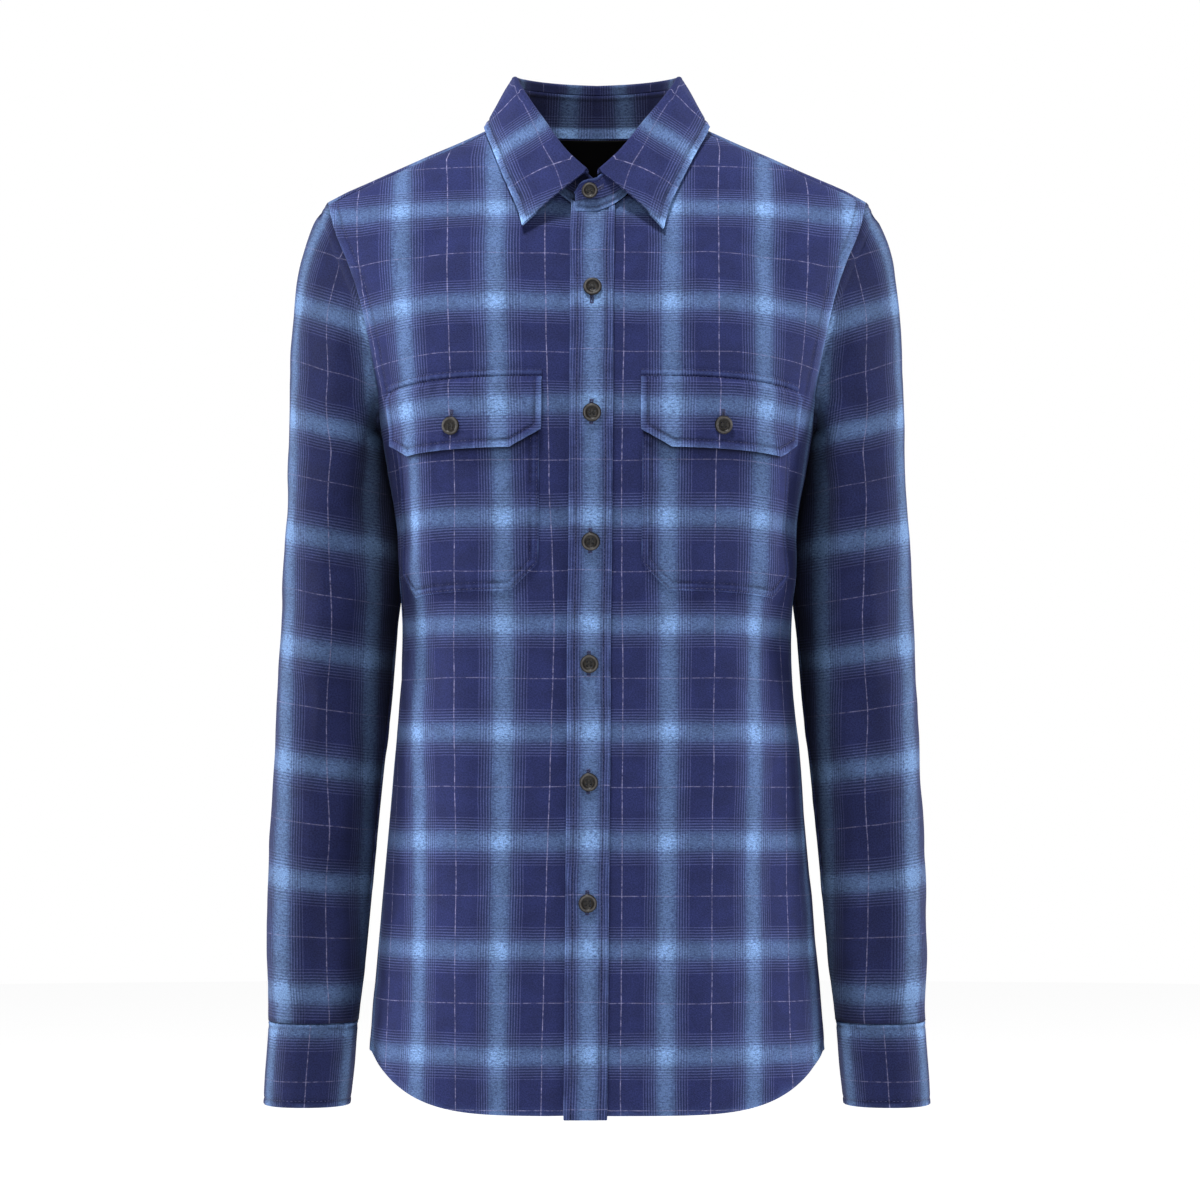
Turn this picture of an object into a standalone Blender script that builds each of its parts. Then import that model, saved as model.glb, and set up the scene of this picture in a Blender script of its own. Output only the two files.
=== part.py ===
"""Long-sleeved button-through flannel utility shirt, filled out as if worn, with nobody in it.

Metres, +Z up, front towards -Y, wearer's left at +X. The origin is the centre of the neck
opening, level with the back neck seam, where the wearer holds the garment up.

The body is one form, given in cylinder-like coordinates: "turn" runs from 0 at the centre front
or centre back to 1 at the side (negative on the wearer's right), and height is Z. Every body
panel is a grid laid on that form, and a piece sewn on a panel uses the same form, moved out.
"""

import functools
import math

import bmesh
import bpy
from mathutils import Vector

MM = 0.001

# Driving dimensions, in millimetres.
CLOTH = 1.4
DOUBLE_CLOTH = 1.8
SEAM_GAP = 0.3
LAP_GAP = 1.95

ARMPIT_HEIGHT = -228.0
SHOULDER_TIP_X = 204.0
NECK_HALF_WIDTH = 68.0
NECK_FRONT_HEIGHT = -60.0
NECK_SIDE_HEIGHT = 10.0
NECK_BACK_DEPTH = 55.0
NECK_BACK_HALF_WIDTH = 67.5
FRONT_SEAM_DROP = 3.0
YOKE_SEAM_HEIGHT = -92.0
YOKE_SEAM_DROOP = 6.0

FRONT_HEM_HEIGHT = -731.0
BACK_HEM_HEIGHT = -744.0
SIDE_HEM_HEIGHT = -689.0
HEM_POWER = 5.4

PLACKET_WIDTH = 32.5
PLACKET_FOOT = 3.0
PLACKET_LIFT = 1.1
BUTTON_LINE_TOP_X = -3.0
BUTTON_LINE_FOOT_X = -8.5

POCKET_WIDTH = 124.0
POCKET_INSET = 38.0
POCKET_TOP = -199.0
POCKET_FOOT = -342.0
POCKET_CORNER = 20.0
FLAP_OVERHANG = 1.5
FLAP_TOP = -184.0
FLAP_FOOT = -236.0
FLAP_CORNER_WIDE = 23.0
FLAP_CORNER_HIGH = 13.0
POCKET_DROOP = 11.0

BUTTON_DIAMETER = 13.2
COLLAR_BUTTON_DIAMETER = 12.0
CUFF_BUTTON_DIAMETER = 11.4
BUTTON_THICKNESS = 2.6
FRONT_BUTTON_HEIGHTS = (-118.5, -211.0, -306.0, -397.0, -484.5, -574.0)
COLLAR_BUTTON_HEIGHT = -43.5
FLAP_BUTTON_HEIGHT = -221.0

CUFF_TOP = -668.0
CUFF_FOOT = -731.0
CUFF_LAP = 0.10
SLEEVE_PLACKET_WIDTH = 25.0
SLEEVE_PLACKET_LENGTH = 130.0
SLEEVE_CLEARANCE = 1.6
ARMHOLE_GAP = 1.9
ARMHOLE_STEPS = 120
ARMHOLE_CROWDING = 0.02
FREE_HEIGHT = -275.0
HEAD_SHARE = 0.42

# How each half of the body form bulges: the power of its level sections, the power with which it
# rounds over to the shoulder line, and the height of its fullest part.
FORM = {
    "front": {"side": -1, "level_power": 3.0, "over_power": 1.5, "fullest": -190.0},
    "back": {"side": 1, "level_power": 2.7, "over_power": 1.7, "fullest": -150.0},
}

# Level sections of the body. Above the armpit the width is that of the form, which the armholes
# cut before it is reached.
BODY = {
    "columns": ("height", "half_width", "front_depth", "back_depth"),
    "rows": (
        (-760, 176.5, 112, 122),
        (-690, 172.5, 111, 120),
        (-588, 164.0, 108, 115),
        (-486, 155.0, 105, 105),
        (-384, 147.6, 101, 94),
        (-300, 153.5, 107, 98),
        (-228, 163.6, 112, 107),
        (-207, 165.2, 112, 109),
        (-176, 171.5, 111, 110),
        (-150, 178.5, 110, 110),
        (-116, 191.0, 110, 109),
        (-95, 200.0, 109, 108),
        (-71, 213.0, 109, 108),
        (-49, 226.0, 109, 108),
        (50, 246.0, 109, 108),
    ),
}

# Where the armhole cuts the form, seen from the front and from the back.
ARMHOLE = {
    "columns": ("height", "front_x", "back_x"),
    "rows": (
        (-207, 162.0, 163.0),
        (-176, 167.5, 166.5),
        (-150, 172.5, 172.5),
        (-133, 176.0, 178.0),
        (-116, 180.5, 185.0),
        (-95, 188.0, 193.0),
        (-71, 198.0, 200.0),
        (-49, 204.0, 204.0),
    ),
}
# The underarm curve joins the two at the side seam: its turn at each height.
UNDERARM = {
    "columns": ("height", "front_turn", "back_turn"),
    "rows": ((-228, 0.999, 0.999), (-226, 0.96, 0.96), (-220, 0.90, 0.895)),
}

# Level sections of the sleeve, below the height where it hangs free of the shoulder.
SLEEVE = {
    "columns": ("height", "centre_x", "centre_y", "half_width", "half_depth"),
    "rows": (
        (-732, 219.8, -9.0, 32.3, 41.0),
        (-667, 215.0, -7.0, 33.2, 43.0),
        (-630, 213.2, -6.0, 35.8, 46.0),
        (-562, 209.8, -3.0, 38.8, 50.0),
        (-479, 204.0, 1.0, 41.0, 54.0),
        (-415, 199.0, 4.0, 43.0, 57.0),
        (-343, 195.3, 7.0, 43.5, 60.0),
        (-275, 201.0, 9.0, 33.5, 66.0),
    ),
}
SLEEVE_POWER = 2.3

# The neck, from centre front round to centre back: the collar's fold line and the outer edge of
# its leaf as (x, y, z), how far the fold line stands above the stand's top seam, and how far the
# leaf's outer edge lies off the body.
NECK = {
    "columns": (
        "around", "fold_x", "fold_y", "fold_z", "rise", "edge_x", "edge_z", "edge_y", "edge_lift",
    ),
    "rows": (
        (0.00, 0.0, -77.0, -32.5, 4.0, 50.5, -71.0, -82.0, 5.5),
        (0.12, 19.0, -63.5, -15.0, 4.0, 56.0, -59.0, -76.0, 4.0),
        (0.28, 36.0, -44.0, 8.5, 5.0, 65.0, -38.5, -60.0, 3.2),
        (0.43, 50.0, -27.0, 28.0, 6.5, 76.0, -13.5, -38.0, 3.2),
        (0.55, 61.0, -11.0, 43.5, 8.0, 86.0, 9.5, -9.0, 0.0),
        (0.62, 63.2, 4.0, 48.0, 9.0, 84.5, 10.5, 10.0, 0.0),
        (0.71, 57.5, 23.0, 48.5, 10.0, 74.0, 7.0, 33.0, 0.0),
        (0.81, 41.5, 39.0, 48.5, 10.0, 51.0, 3.5, 54.0, 0.0),
        (0.90, 21.0, 48.5, 48.0, 10.0, 26.0, 1.5, 64.0, 0.0),
        (1.00, 0.0, 52.0, 47.5, 10.0, 0.0, 1.0, 67.0, 0.0),
    ),
}
LEAF_CENTRE_GAP = 0.045
STAND_LAP = 13.3
STAND_SEAM_GAP = 1.8

# Grids, as (cells across, cells up).
GRIDS = {
    "front": (9, 22),
    "back": (18, 19),
    "yoke": (18, 5),
    "placket": (2, 19),
    "stand": (28, 3),
    "leaf": (26, 5),
    "sleeve": (20, 14),
    "cuff": (20, 2),
    "pocket": (7, 6),
    "flap": (7, 3),
    "sleeve_placket": (2, 5),
}
BUTTON_SIDES = 16

# Finishes: colour (linear), roughness, metallic.
FINISHES = {
    "plaid_flannel": ((0.035, 0.042, 0.135), 0.85, 0.0),
    "black_lining": ((0.004, 0.004, 0.005), 0.80, 0.0),
    "horn_button": ((0.026, 0.020, 0.015), 0.35, 0.0),
}


# ---------------------------------------------------------------- numbers and tables


def clamp(value, low=0.0, high=1.0):
    return min(max(value, low), high)


def mix(a, b, share):
    return a + (b - a) * share


def ease(value, low=0.0, high=1.0):
    share = clamp((value - low) / (high - low))
    return share * share * (3 - 2 * share)


def read(table, name, at):
    """A smooth curve through one named column, at a value of the table's first column."""
    index = table["columns"].index(name)
    xs = [row[0] for row in table["rows"]]
    ys = [row[index] for row in table["rows"]]
    last = len(xs) - 1
    at = clamp(at, min(xs[0], xs[last]), max(xs[0], xs[last]))
    i = 0
    while i < last - 1 and at > xs[i + 1]:
        i += 1

    def slope(k):
        if k in (0, last):
            near = 1 if k == 0 else last
            return (ys[near] - ys[near - 1]) / (xs[near] - xs[near - 1])
        before = (ys[k] - ys[k - 1]) / (xs[k] - xs[k - 1])
        after = (ys[k + 1] - ys[k]) / (xs[k + 1] - xs[k])
        return 0.0 if before * after <= 0 else 2 * before * after / (before + after)

    width = xs[i + 1] - xs[i]
    t = (at - xs[i]) / width
    start = (1 + 2 * t) * (1 - t) ** 2 * ys[i] + t * (1 - t) ** 2 * width * slope(i)
    end = t * t * (3 - 2 * t) * ys[i + 1] + t * t * (t - 1) * width * slope(i + 1)
    return start + end


# ---------------------------------------------------------------- the body form


def shoulder_line(x):
    """Height of the shoulder line: straight to the tip, and level across the neck."""
    x = abs(x)
    straight = 44.0 - 0.44 * x
    return straight - 0.10 * max(0.0, x - 190.0)


def turn_at(half, x, z):
    """The turn at which the form's level section at z passes x."""
    power = FORM[half]["level_power"]
    share = clamp(abs(x) / read(BODY, "half_width", z), 0.0, 0.99999)
    depth_share = (1 - share**power) ** (1 / power)
    return math.copysign(math.atan2(share, depth_share) / (math.pi / 2), x)


def form_point(half, turn, z):
    form = FORM[half]
    power = form["level_power"]
    angle = abs(turn) * math.pi / 2
    sine, cosine = math.sin(angle), max(math.cos(angle), 0.0)
    radius = (sine**power + cosine**power) ** (-1 / power)
    x = math.copysign(read(BODY, "half_width", z) * radius * sine, turn)
    over = form["over_power"]
    height_share = clamp((z - form["fullest"]) / (shoulder_line(x) - form["fullest"]))
    fullness = (1 - height_share**over) ** (1 / over)
    depth = read(BODY, half + "_depth", z) * radius * cosine * fullness
    return Vector((x, form["side"] * depth, z))


def form_normal(half, turn, z):
    """Outward unit normal of the form."""
    step_turn, step_z = 0.002, 0.4
    along = form_point(half, turn + step_turn, z) - form_point(half, turn - step_turn, z)
    down = form_point(half, turn, z - step_z) - form_point(half, turn, z)
    if down.length < 1e-6:
        down = Vector((0, FORM[half]["side"], 0))
    normal = along.cross(down).normalized()
    return -normal if half == "front" else normal


def on_form(half, turn, z, lift):
    """A point that lies lift above the form."""
    return form_point(half, turn, z) + form_normal(half, turn, z) * lift


def over_shoulder(x, root):
    """(half, turn, z) of a place near the shoulder line. root is the root of the drop below the
    line, behind it where positive and in front of it where negative."""
    half = "back" if root >= 0 else "front"
    z = shoulder_line(x) - root * root
    return half, turn_at(half, x, z), z


# ---------------------------------------------------------------- seams on the form


def armhole(half, share):
    """(turn, z) along one half of the armhole, from the underarm at 0 to the shoulder at 1."""
    split = 0.18
    if share <= split:
        low, high = UNDERARM["rows"][0][0], UNDERARM["rows"][-1][0]
        z = mix(low, high, (share / split) ** 1.6)
        return read(UNDERARM, half + "_turn", z), z
    low = UNDERARM["rows"][-1][0]
    tip = shoulder_line(SHOULDER_TIP_X)
    if half == "front":
        tip -= FRONT_SEAM_DROP
    z = mix(low, tip, (share - split) / (1 - split))
    x = read(ARMHOLE, half + "_x", z)
    turn = turn_at(half, x, z)
    start = read(UNDERARM, half + "_turn", low)
    return mix(start, turn, ease(z, low, -190.0)), z


def armhole_share(half, z):
    """The share of armhole(half, share) that lies at height z, found by halving."""
    low, high = 0.0, 1.0
    for _ in range(30):
        middle = (low + high) / 2
        if armhole(half, middle)[1] < z:
            low = middle
        else:
            high = middle
    return low


def button_line_x(z):
    share = clamp((NECK_FRONT_HEIGHT - z) / (NECK_FRONT_HEIGHT - FRONT_HEM_HEIGHT))
    return mix(BUTTON_LINE_TOP_X, BUTTON_LINE_FOOT_X, share)


def front_neck_height(x):
    """Height of the neck seam on the fronts, seen from the front."""
    rise = NECK_SIDE_HEIGHT - NECK_FRONT_HEIGHT
    return NECK_FRONT_HEIGHT + rise * clamp(abs(x) / NECK_HALF_WIDTH) ** 1.6


def back_neck(angle):
    """(x, root) of the neck seam behind the shoulder line; angle is 0 at the centre back."""
    x = NECK_BACK_HALF_WIDTH * math.sin(angle)
    y = NECK_BACK_DEPTH * max(math.cos(angle), 0.0)
    over = FORM["back"]["over_power"]
    fullest = FORM["back"]["fullest"]
    top = shoulder_line(x)
    z = 0.0
    for _ in range(6):
        turn = turn_at("back", x, z)
        level = form_point("back", turn, fullest).y * read(BODY, "back_depth", z)
        level /= read(BODY, "back_depth", fullest)
        share = (1 - clamp(y / level) ** over) ** (1 / over)
        z = fullest + share * (top - fullest)
    return x, math.sqrt(max(top - z, 0.0))


def hem_height(half, x, z):
    low = FRONT_HEM_HEIGHT if half == "front" else BACK_HEM_HEIGHT
    share = clamp(abs(x) / read(BODY, "half_width", z))
    return low + (SIDE_HEM_HEIGHT - low) * share**HEM_POWER


def yoke_seam_height(x):
    return YOKE_SEAM_HEIGHT - YOKE_SEAM_DROOP * (abs(x) / SHOULDER_TIP_X) ** 2


# ---------------------------------------------------------------- making solids


def finish_of(name):
    material = bpy.data.materials.get(name)
    if material is None:
        colour, roughness, metallic = FINISHES[name]
        material = bpy.data.materials.new(name)
        material.use_nodes = True
        shader = material.node_tree.nodes["Principled BSDF"]
        shader.inputs["Base Color"].default_value = (*colour, 1.0)
        shader.inputs["Roughness"].default_value = roughness
        shader.inputs["Metallic"].default_value = metallic
        material.diffuse_color = (*colour, 1.0)
    return material


def keep(bm, name, finish):
    """Turns a bmesh in millimetres into a named object at the root of the scene."""
    bmesh.ops.recalc_face_normals(bm, faces=bm.faces)
    if bm.calc_volume(signed=True) < 0:
        bmesh.ops.reverse_faces(bm, faces=bm.faces)
    bmesh.ops.scale(bm, vec=(MM, MM, MM), verts=bm.verts)
    mesh = bpy.data.meshes.new(name)
    bm.to_mesh(mesh)
    bm.free()
    mesh.materials.append(finish_of(finish))
    mesh.shade_smooth()
    mesh.set_sharp_from_angle(angle=math.radians(40))
    solid = bpy.data.objects.new(name, mesh)
    bpy.context.scene.collection.objects.link(solid)
    return solid


def wall(name, grid, place, outer, inner, finish="plaid_flannel", tube=False):
    """A cloth wall: a grid whose two skins lie outer and inner above a surface. place(u, v, lift)
    gives a point in millimetres for u and v from 0 to 1; a tube's first and last columns meet."""
    bm = bmesh.new()
    bmesh.ops.create_grid(bm, x_segments=grid[0], y_segments=grid[1], size=0.5)
    if tube:
        first, last = {}, {}
        for vert in bm.verts:
            if abs(vert.co.x) > 0.4999:
                (last if vert.co.x > 0 else first)[round(vert.co.y, 5)] = vert
        bmesh.ops.weld_verts(bm, targetmap={last[y]: first[y] for y in last})
    skin = list(bm.faces)
    inside = list(bm.verts)
    made = bmesh.ops.extrude_face_region(bm, geom=skin, use_keep_orig=True)
    outside = [item for item in made["geom"] if isinstance(item, bmesh.types.BMVert)]
    for verts, lift in ((inside, inner), (outside, outer)):
        for vert in verts:
            u, v = vert.co.x + 0.5, vert.co.y + 0.5
            at = lift(u, v) if callable(lift) else lift
            vert.co = place(u, v, at)
    return keep(bm, name, finish)


# ---------------------------------------------------------------- fronts, back and yoke


def panel_place(half, centre_edge, top_edge, rows):
    """place() for a panel that runs from a centre edge to the side seam and the armhole.
    centre_edge(v) is its (x, z) in the middle, and top_edge(turn, z) the height of its top.
    rows holds the v of the armpit and the share of the armhole that the panel reaches."""
    armpit_row = rows["armpit"]

    def side(v):
        if v <= armpit_row:
            z = mix(SIDE_HEM_HEIGHT, ARMPIT_HEIGHT, v / armpit_row)
            return 0.999, z
        return armhole(half, (v - armpit_row) / (1 - armpit_row) * rows["top_share"])

    def place(u, v, lift):
        edge_x, edge_z = centre_edge(v)
        side_turn, side_z = side(v)
        start = turn_at(half, edge_x, edge_z)
        turn = mix(start, side_turn, u)
        z = mix(edge_z, side_z, u)
        foot = form_point(half, turn, FRONT_HEM_HEIGHT).x
        hem = hem_height(half, foot, SIDE_HEM_HEIGHT)
        level_hem = mix(centre_edge(0.0)[1], SIDE_HEM_HEIGHT, u)
        z += (hem - level_hem) * (1 - ease(v, 0.0, armpit_row))
        if v > armpit_row:
            share = (v - armpit_row) / (1 - armpit_row)
            end_x, end_z = centre_edge(1.0)
            end_turn = mix(turn_at(half, end_x, end_z), side(1.0)[0], u)
            end_z = mix(end_z, side(1.0)[1], u)
            z += (top_edge(end_turn, end_z) - end_z) * share**2
        return on_form(half, turn, z, lift)

    return place


def front_seam_height(turn, z):
    """Height, at a turn of the front, of the seam that joins front and yoke."""
    for _ in range(6):
        x = form_point("front", turn, z).x
        z = shoulder_line(x) - FRONT_SEAM_DROP - 0.15
    return z


def front_panel(name, sign, edge_beyond, sink):
    """sign is 1 for the wearer's left. The panel's free edge lies edge_beyond past the button
    line, and sink(x) pushes the panel inwards where the other front laps over it."""
    armpit_row = 10 / GRIDS["front"][1]
    neck_row = 14 / GRIDS["front"][1]

    def centre_edge(v):
        """(x, z) with x measured towards this panel's side."""
        if v <= neck_row:
            top = front_neck_height(BUTTON_LINE_TOP_X + edge_beyond)
            z = mix(FRONT_HEM_HEIGHT, top, v / neck_row)
            return sign * button_line_x(z) - edge_beyond, z
        share = (v - neck_row) / (1 - neck_row)
        start = sign * button_line_x(NECK_FRONT_HEIGHT) - edge_beyond
        x = mix(start, NECK_HALF_WIDTH, share**0.8)
        return x, front_neck_height(x)

    place_plain = panel_place(
        "front",
        centre_edge,
        front_seam_height,
        {"armpit": armpit_row, "top_share": 1.0},
    )

    def place(u, v, lift):
        point = place_plain(u, v, lift + sink(place_plain(u, v, 0.0).x))
        point.x *= sign
        return point

    return wall(name, GRIDS["front"], place, 0.0, -CLOTH)


def back_panel():
    armpit_row = 11 / GRIDS["back"][1]
    top_share = armhole_share("back", yoke_seam_height(SHOULDER_TIP_X))

    def centre_edge(v):
        return 0.0, mix(BACK_HEM_HEIGHT, YOKE_SEAM_HEIGHT - SEAM_GAP, v)

    def top_edge(turn, z):
        x = form_point("back", turn, z).x
        return yoke_seam_height(x) - SEAM_GAP

    right_half = panel_place(
        "back", centre_edge, top_edge, {"armpit": armpit_row, "top_share": top_share}
    )

    def place(u, v, lift):
        across = 2 * u - 1
        point = right_half(abs(across), v, lift)
        point.x = math.copysign(point.x, across)
        return point

    return wall("back", GRIDS["back"], place, 0.0, -CLOTH)


def armhole_x(root):
    """Where the armhole passes a given root of the drop below the shoulder line."""
    column = "back_x" if root >= 0 else "front_x"
    x = SHOULDER_TIP_X
    for _ in range(6):
        x = read(ARMHOLE, column, shoulder_line(x) - root * root)
    return x


def yoke_place(u, v, lift):
    """From the back seam at v = 0 over the shoulder line to the front seams at v = 1."""
    across = abs(2 * u - 1)
    neck_share = 0.4
    past_side = 1.12
    front_root = -math.sqrt(FRONT_SEAM_DROP)
    seam_z = yoke_seam_height(SHOULDER_TIP_X)
    widest = read(ARMHOLE, "back_x", seam_z)
    foot_x = across * widest
    foot_root = math.sqrt(shoulder_line(foot_x) - yoke_seam_height(foot_x))
    if across <= neck_share:
        angle = across / neck_share * math.pi / 2 * past_side
        top_x, top_root = back_neck(min(angle, math.pi / 2))
        past = max(0.0, (angle * 2 / math.pi - 1) / (past_side - 1))
        top_x = mix(top_x, NECK_HALF_WIDTH, past)
        top_root = mix(top_root, front_root, past)
    else:
        top_x = mix(NECK_HALF_WIDTH, SHOULDER_TIP_X, (across - neck_share) / (1 - neck_share))
        top_root = front_root
    edge_root = mix(math.sqrt(shoulder_line(widest) - seam_z), front_root, v)
    x = mix(foot_x, top_x, v)
    x += across**3 * (armhole_x(edge_root) - mix(widest, SHOULDER_TIP_X, v))
    half, turn, z = over_shoulder(x, mix(foot_root, top_root, v))
    point = on_form(half, turn, z, lift)
    if u < 0.5:
        point.x = -point.x
    return point


def yokes():
    wall("yoke", GRIDS["yoke"], yoke_place, 0.0, -CLOTH)
    under = -CLOTH - SEAM_GAP
    wall("inside_yoke", GRIDS["yoke"], yoke_place, under, under - 1.2, "black_lining")


# ---------------------------------------------------------------- placket, pockets and flaps


def front_placket():
    def place(u, v, lift):
        across = (u - 0.5) * PLACKET_WIDTH
        x = button_line_x(mix(FRONT_HEM_HEIGHT, NECK_FRONT_HEIGHT, v)) + across
        foot = FRONT_HEM_HEIGHT - PLACKET_FOOT
        top = front_neck_height(x) - SEAM_GAP
        z = mix(foot, top, v)
        return on_form("front", turn_at("front", x, z), z, lift)

    wall("placket", GRIDS["placket"], place, PLACKET_LIFT + DOUBLE_CLOTH, PLACKET_LIFT)


def level_point(side, inset, z, lift):
    """A point of a front, inset along the cloth from the button line at height z. Away from the
    middle the cloth's level lines hang lower, as they do on the fuller part of the chest."""
    reach = inset / (POCKET_INSET + POCKET_WIDTH)
    z -= POCKET_DROOP * reach**4
    x = button_line_x(z)
    turn = turn_at("front", x, z)
    walked, here = 0.0, form_point("front", turn, z)
    step = side * 0.012
    while walked < inset:
        nxt = form_point("front", turn + step, z)
        length = (nxt - here).length
        if walked + length >= inset:
            turn += step * (inset - walked) / length
            break
        walked, here, turn = walked + length, nxt, turn + step
    return on_form("front", turn, z, lift)


def clipped(u, corner_wide):
    """How far, from 0 to 1, a column at u (0 to 1) lies inside a clipped corner."""
    near_edge = min(u, 1 - u)
    return 1 - clamp(near_edge / corner_wide)


def even_corners(u, cells, corner_wide):
    """Moves the grid lines so that one of them starts each clipped corner."""
    cell = 1.0 / cells
    if u <= cell:
        return u / cell * corner_wide
    if u >= 1 - cell:
        return 1 - (1 - u) / cell * corner_wide
    return mix(corner_wide, 1 - corner_wide, (u - cell) / (1 - 2 * cell))


def pocket(side, name):
    corner = POCKET_CORNER / POCKET_WIDTH

    def place(u, v, lift):
        u = even_corners(u, GRIDS["pocket"][0], corner)
        foot = POCKET_FOOT + POCKET_CORNER * clipped(u, corner)
        return level_point(side, POCKET_INSET + u * POCKET_WIDTH, mix(foot, POCKET_TOP, v), lift)

    wall(name, GRIDS["pocket"], place, 1.2 + CLOTH, 1.2)


def flap_place(side, u, v, lift):
    width = POCKET_WIDTH + 2 * FLAP_OVERHANG
    corner = FLAP_CORNER_WIDE / width
    u = even_corners(u, GRIDS["flap"][0], corner)
    foot = FLAP_FOOT + FLAP_CORNER_HIGH * clipped(u, corner)
    inset = POCKET_INSET - FLAP_OVERHANG + u * width
    return level_point(side, inset, mix(foot, FLAP_TOP, v), lift)


def flap(side, name):
    def place(u, v, lift):
        return flap_place(side, u, v, lift)

    wall(name, GRIDS["flap"], place, 3.4 + DOUBLE_CLOTH, 3.4)


# ---------------------------------------------------------------- collar


def neck_base(around):
    """The neck seam on the wearer's left: around is 0 at the centre front and 1 at the centre
    back."""
    front_share = 0.55
    if around <= front_share:
        x = NECK_HALF_WIDTH * (around / front_share) ** 0.86
        z = front_neck_height(x)
        turn = turn_at("front", x, z)
        return form_point("front", turn, z)
    angle = (1 - around) / (1 - front_share) * math.pi / 2
    x, root = back_neck(angle)
    half, turn, z = over_shoulder(x, root)
    lead = 1 - ease(around, front_share, 0.66)
    point = form_point(half, turn, z)
    side = form_point("front", turn_at("front", NECK_HALF_WIDTH, NECK_SIDE_HEIGHT), NECK_SIDE_HEIGHT)
    return point.lerp(side, lead * lead)


def fold(around):
    return Vector(tuple(read(NECK, "fold_" + axis, around) for axis in "xyz"))


def leaf_edge(around):
    """The outer edge of the collar leaf, resting just off the body in front."""
    x = read(NECK, "edge_x", around)
    z = read(NECK, "edge_z", around)
    free = Vector((x, read(NECK, "edge_y", around), z))
    lying = on_form("front", turn_at("front", x, z), z, read(NECK, "edge_lift", around))
    return lying.lerp(free, ease(around, 0.43, 0.55))


def neck_shift(point, side):
    """Mirrors a point of the wearer's left to either side, about the line that the neck's front
    is buttoned on."""
    front = ease(-point.y, 5.0, 70.0)
    return Vector((side * point.x + BUTTON_LINE_TOP_X * front, point.y, point.z))


def stand_path(u):
    """(around, side, past) for u along the stand, from the wearer's right end at 0 to the left
    end at 1. past is the length beyond the button line."""
    lap = 0.035
    along = mix(-1 - lap, 1 + lap, u)
    side = -1 if along < 0 else 1
    around = 1 - abs(along)
    if around < 0:
        return 0.0, side, -around / lap * STAND_LAP
    return around, side, 0.0


def stand_place(u, v, lift):
    around, side, past = stand_path(u)
    base, top = neck_base(around), fold(around)
    top.z -= read(NECK, "rise", around)
    ahead_base, ahead_top = neck_base(around + 0.02), fold(min(around + 0.02, 1.0))
    if around > 0.98:
        ahead_base, ahead_top = base + Vector((-1, 0, 0)), top + Vector((-1, 0, 0))
    height = mix(0.0, 1.0, v)
    point = base.lerp(top, height)
    along = ahead_base.lerp(ahead_top, height) - point
    along.z = 0
    outward = Vector((along.y, -along.x, 0)).normalized()
    if past > 0:
        outward = Vector((0, -1, 0))
        round_share = past / STAND_LAP
        if side > 0:
            point.z -= (v**2) * 11.0 * (1 - math.sqrt(max(1 - round_share**2, 0.0)))
        point.x -= past
        point.y += 0.012 * past * past
    point.z += STAND_SEAM_GAP + 3.3 * (1 - ease(around, 0.0, 0.17)) * (1 - v)
    over = ease(u, 0.88, 0.95) if side > 0 else 0.0
    point += outward * (lift + over * (DOUBLE_CLOTH + LAP_GAP))
    return neck_shift(point, side)


def collar():
    wall("collar_stand", GRIDS["stand"], stand_place, 0.0, -DOUBLE_CLOTH)
    rise_share, roll_share = 0.2, 0.4

    def place(u, v, lift):
        along = mix(-1, 1, u) * (1 - LEAF_CENTRE_GAP)
        side = -1 if along < 0 else 1
        around = 1 - abs(along)
        start = fold(around)
        near = fold(min(around + 0.02, 1.0)) - start
        if around > 0.98:
            near = Vector((-1, 0, 0))
        outward = Vector((near.y, -near.x, 0)).normalized()
        edge = leaf_edge(around)
        tip_share = 1 - ease(around, LEAF_CENTRE_GAP, 0.20)
        start -= outward * 0.2
        rise = read(NECK, "rise", around) - STAND_SEAM_GAP - 0.7
        roll = 2.6
        if v <= rise_share:
            point = start - Vector((0, 0, rise * (1 - v / rise_share)))
            point += outward * lift
        elif v <= roll_share:
            angle = (v - rise_share) / (roll_share - rise_share) * math.pi
            centre = start + outward * roll
            reach = roll - lift
            point = centre - outward * reach * math.cos(angle)
            point += Vector((0, 0, reach * math.sin(angle)))
        else:
            share = (v - roll_share) / (1 - roll_share)
            top = start + outward * 2 * roll
            point = top.lerp(edge, share)
            bow = (1 - tip_share) * 3.0 + tip_share * 2.0
            skin = outward * 0.9 + Vector((0, 0, 0.44))
            point += skin * (bow * math.sin(share * math.pi) - lift)
        return neck_shift(point, side)

    wall("collar_leaf", GRIDS["leaf"], place, 0.0, -DOUBLE_CLOTH)


# ---------------------------------------------------------------- sleeves and cuffs


@functools.lru_cache(maxsize=None)
def armhole_lengths(half):
    """Length of cloth edge from the underarm to each of many even shares of armhole(half, share)."""
    lengths, here = [0.0], form_point(half, *armhole(half, 0.0))
    for step in range(1, ARMHOLE_STEPS + 1):
        following = form_point(half, *armhole(half, step / ARMHOLE_STEPS))
        lengths.append(lengths[-1] + (following - here).length)
        here = following
    return lengths


def armhole_walk(half, length_share):
    """(turn, z) at a share of the length of one half of the armhole, from the underarm up."""
    lengths = armhole_lengths(half)
    wanted = length_share * lengths[-1]
    step = 0
    while step < ARMHOLE_STEPS - 1 and lengths[step + 1] < wanted:
        step += 1
    part = (wanted - lengths[step]) / (lengths[step + 1] - lengths[step])
    return armhole(half, (step + part) / ARMHOLE_STEPS)


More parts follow.
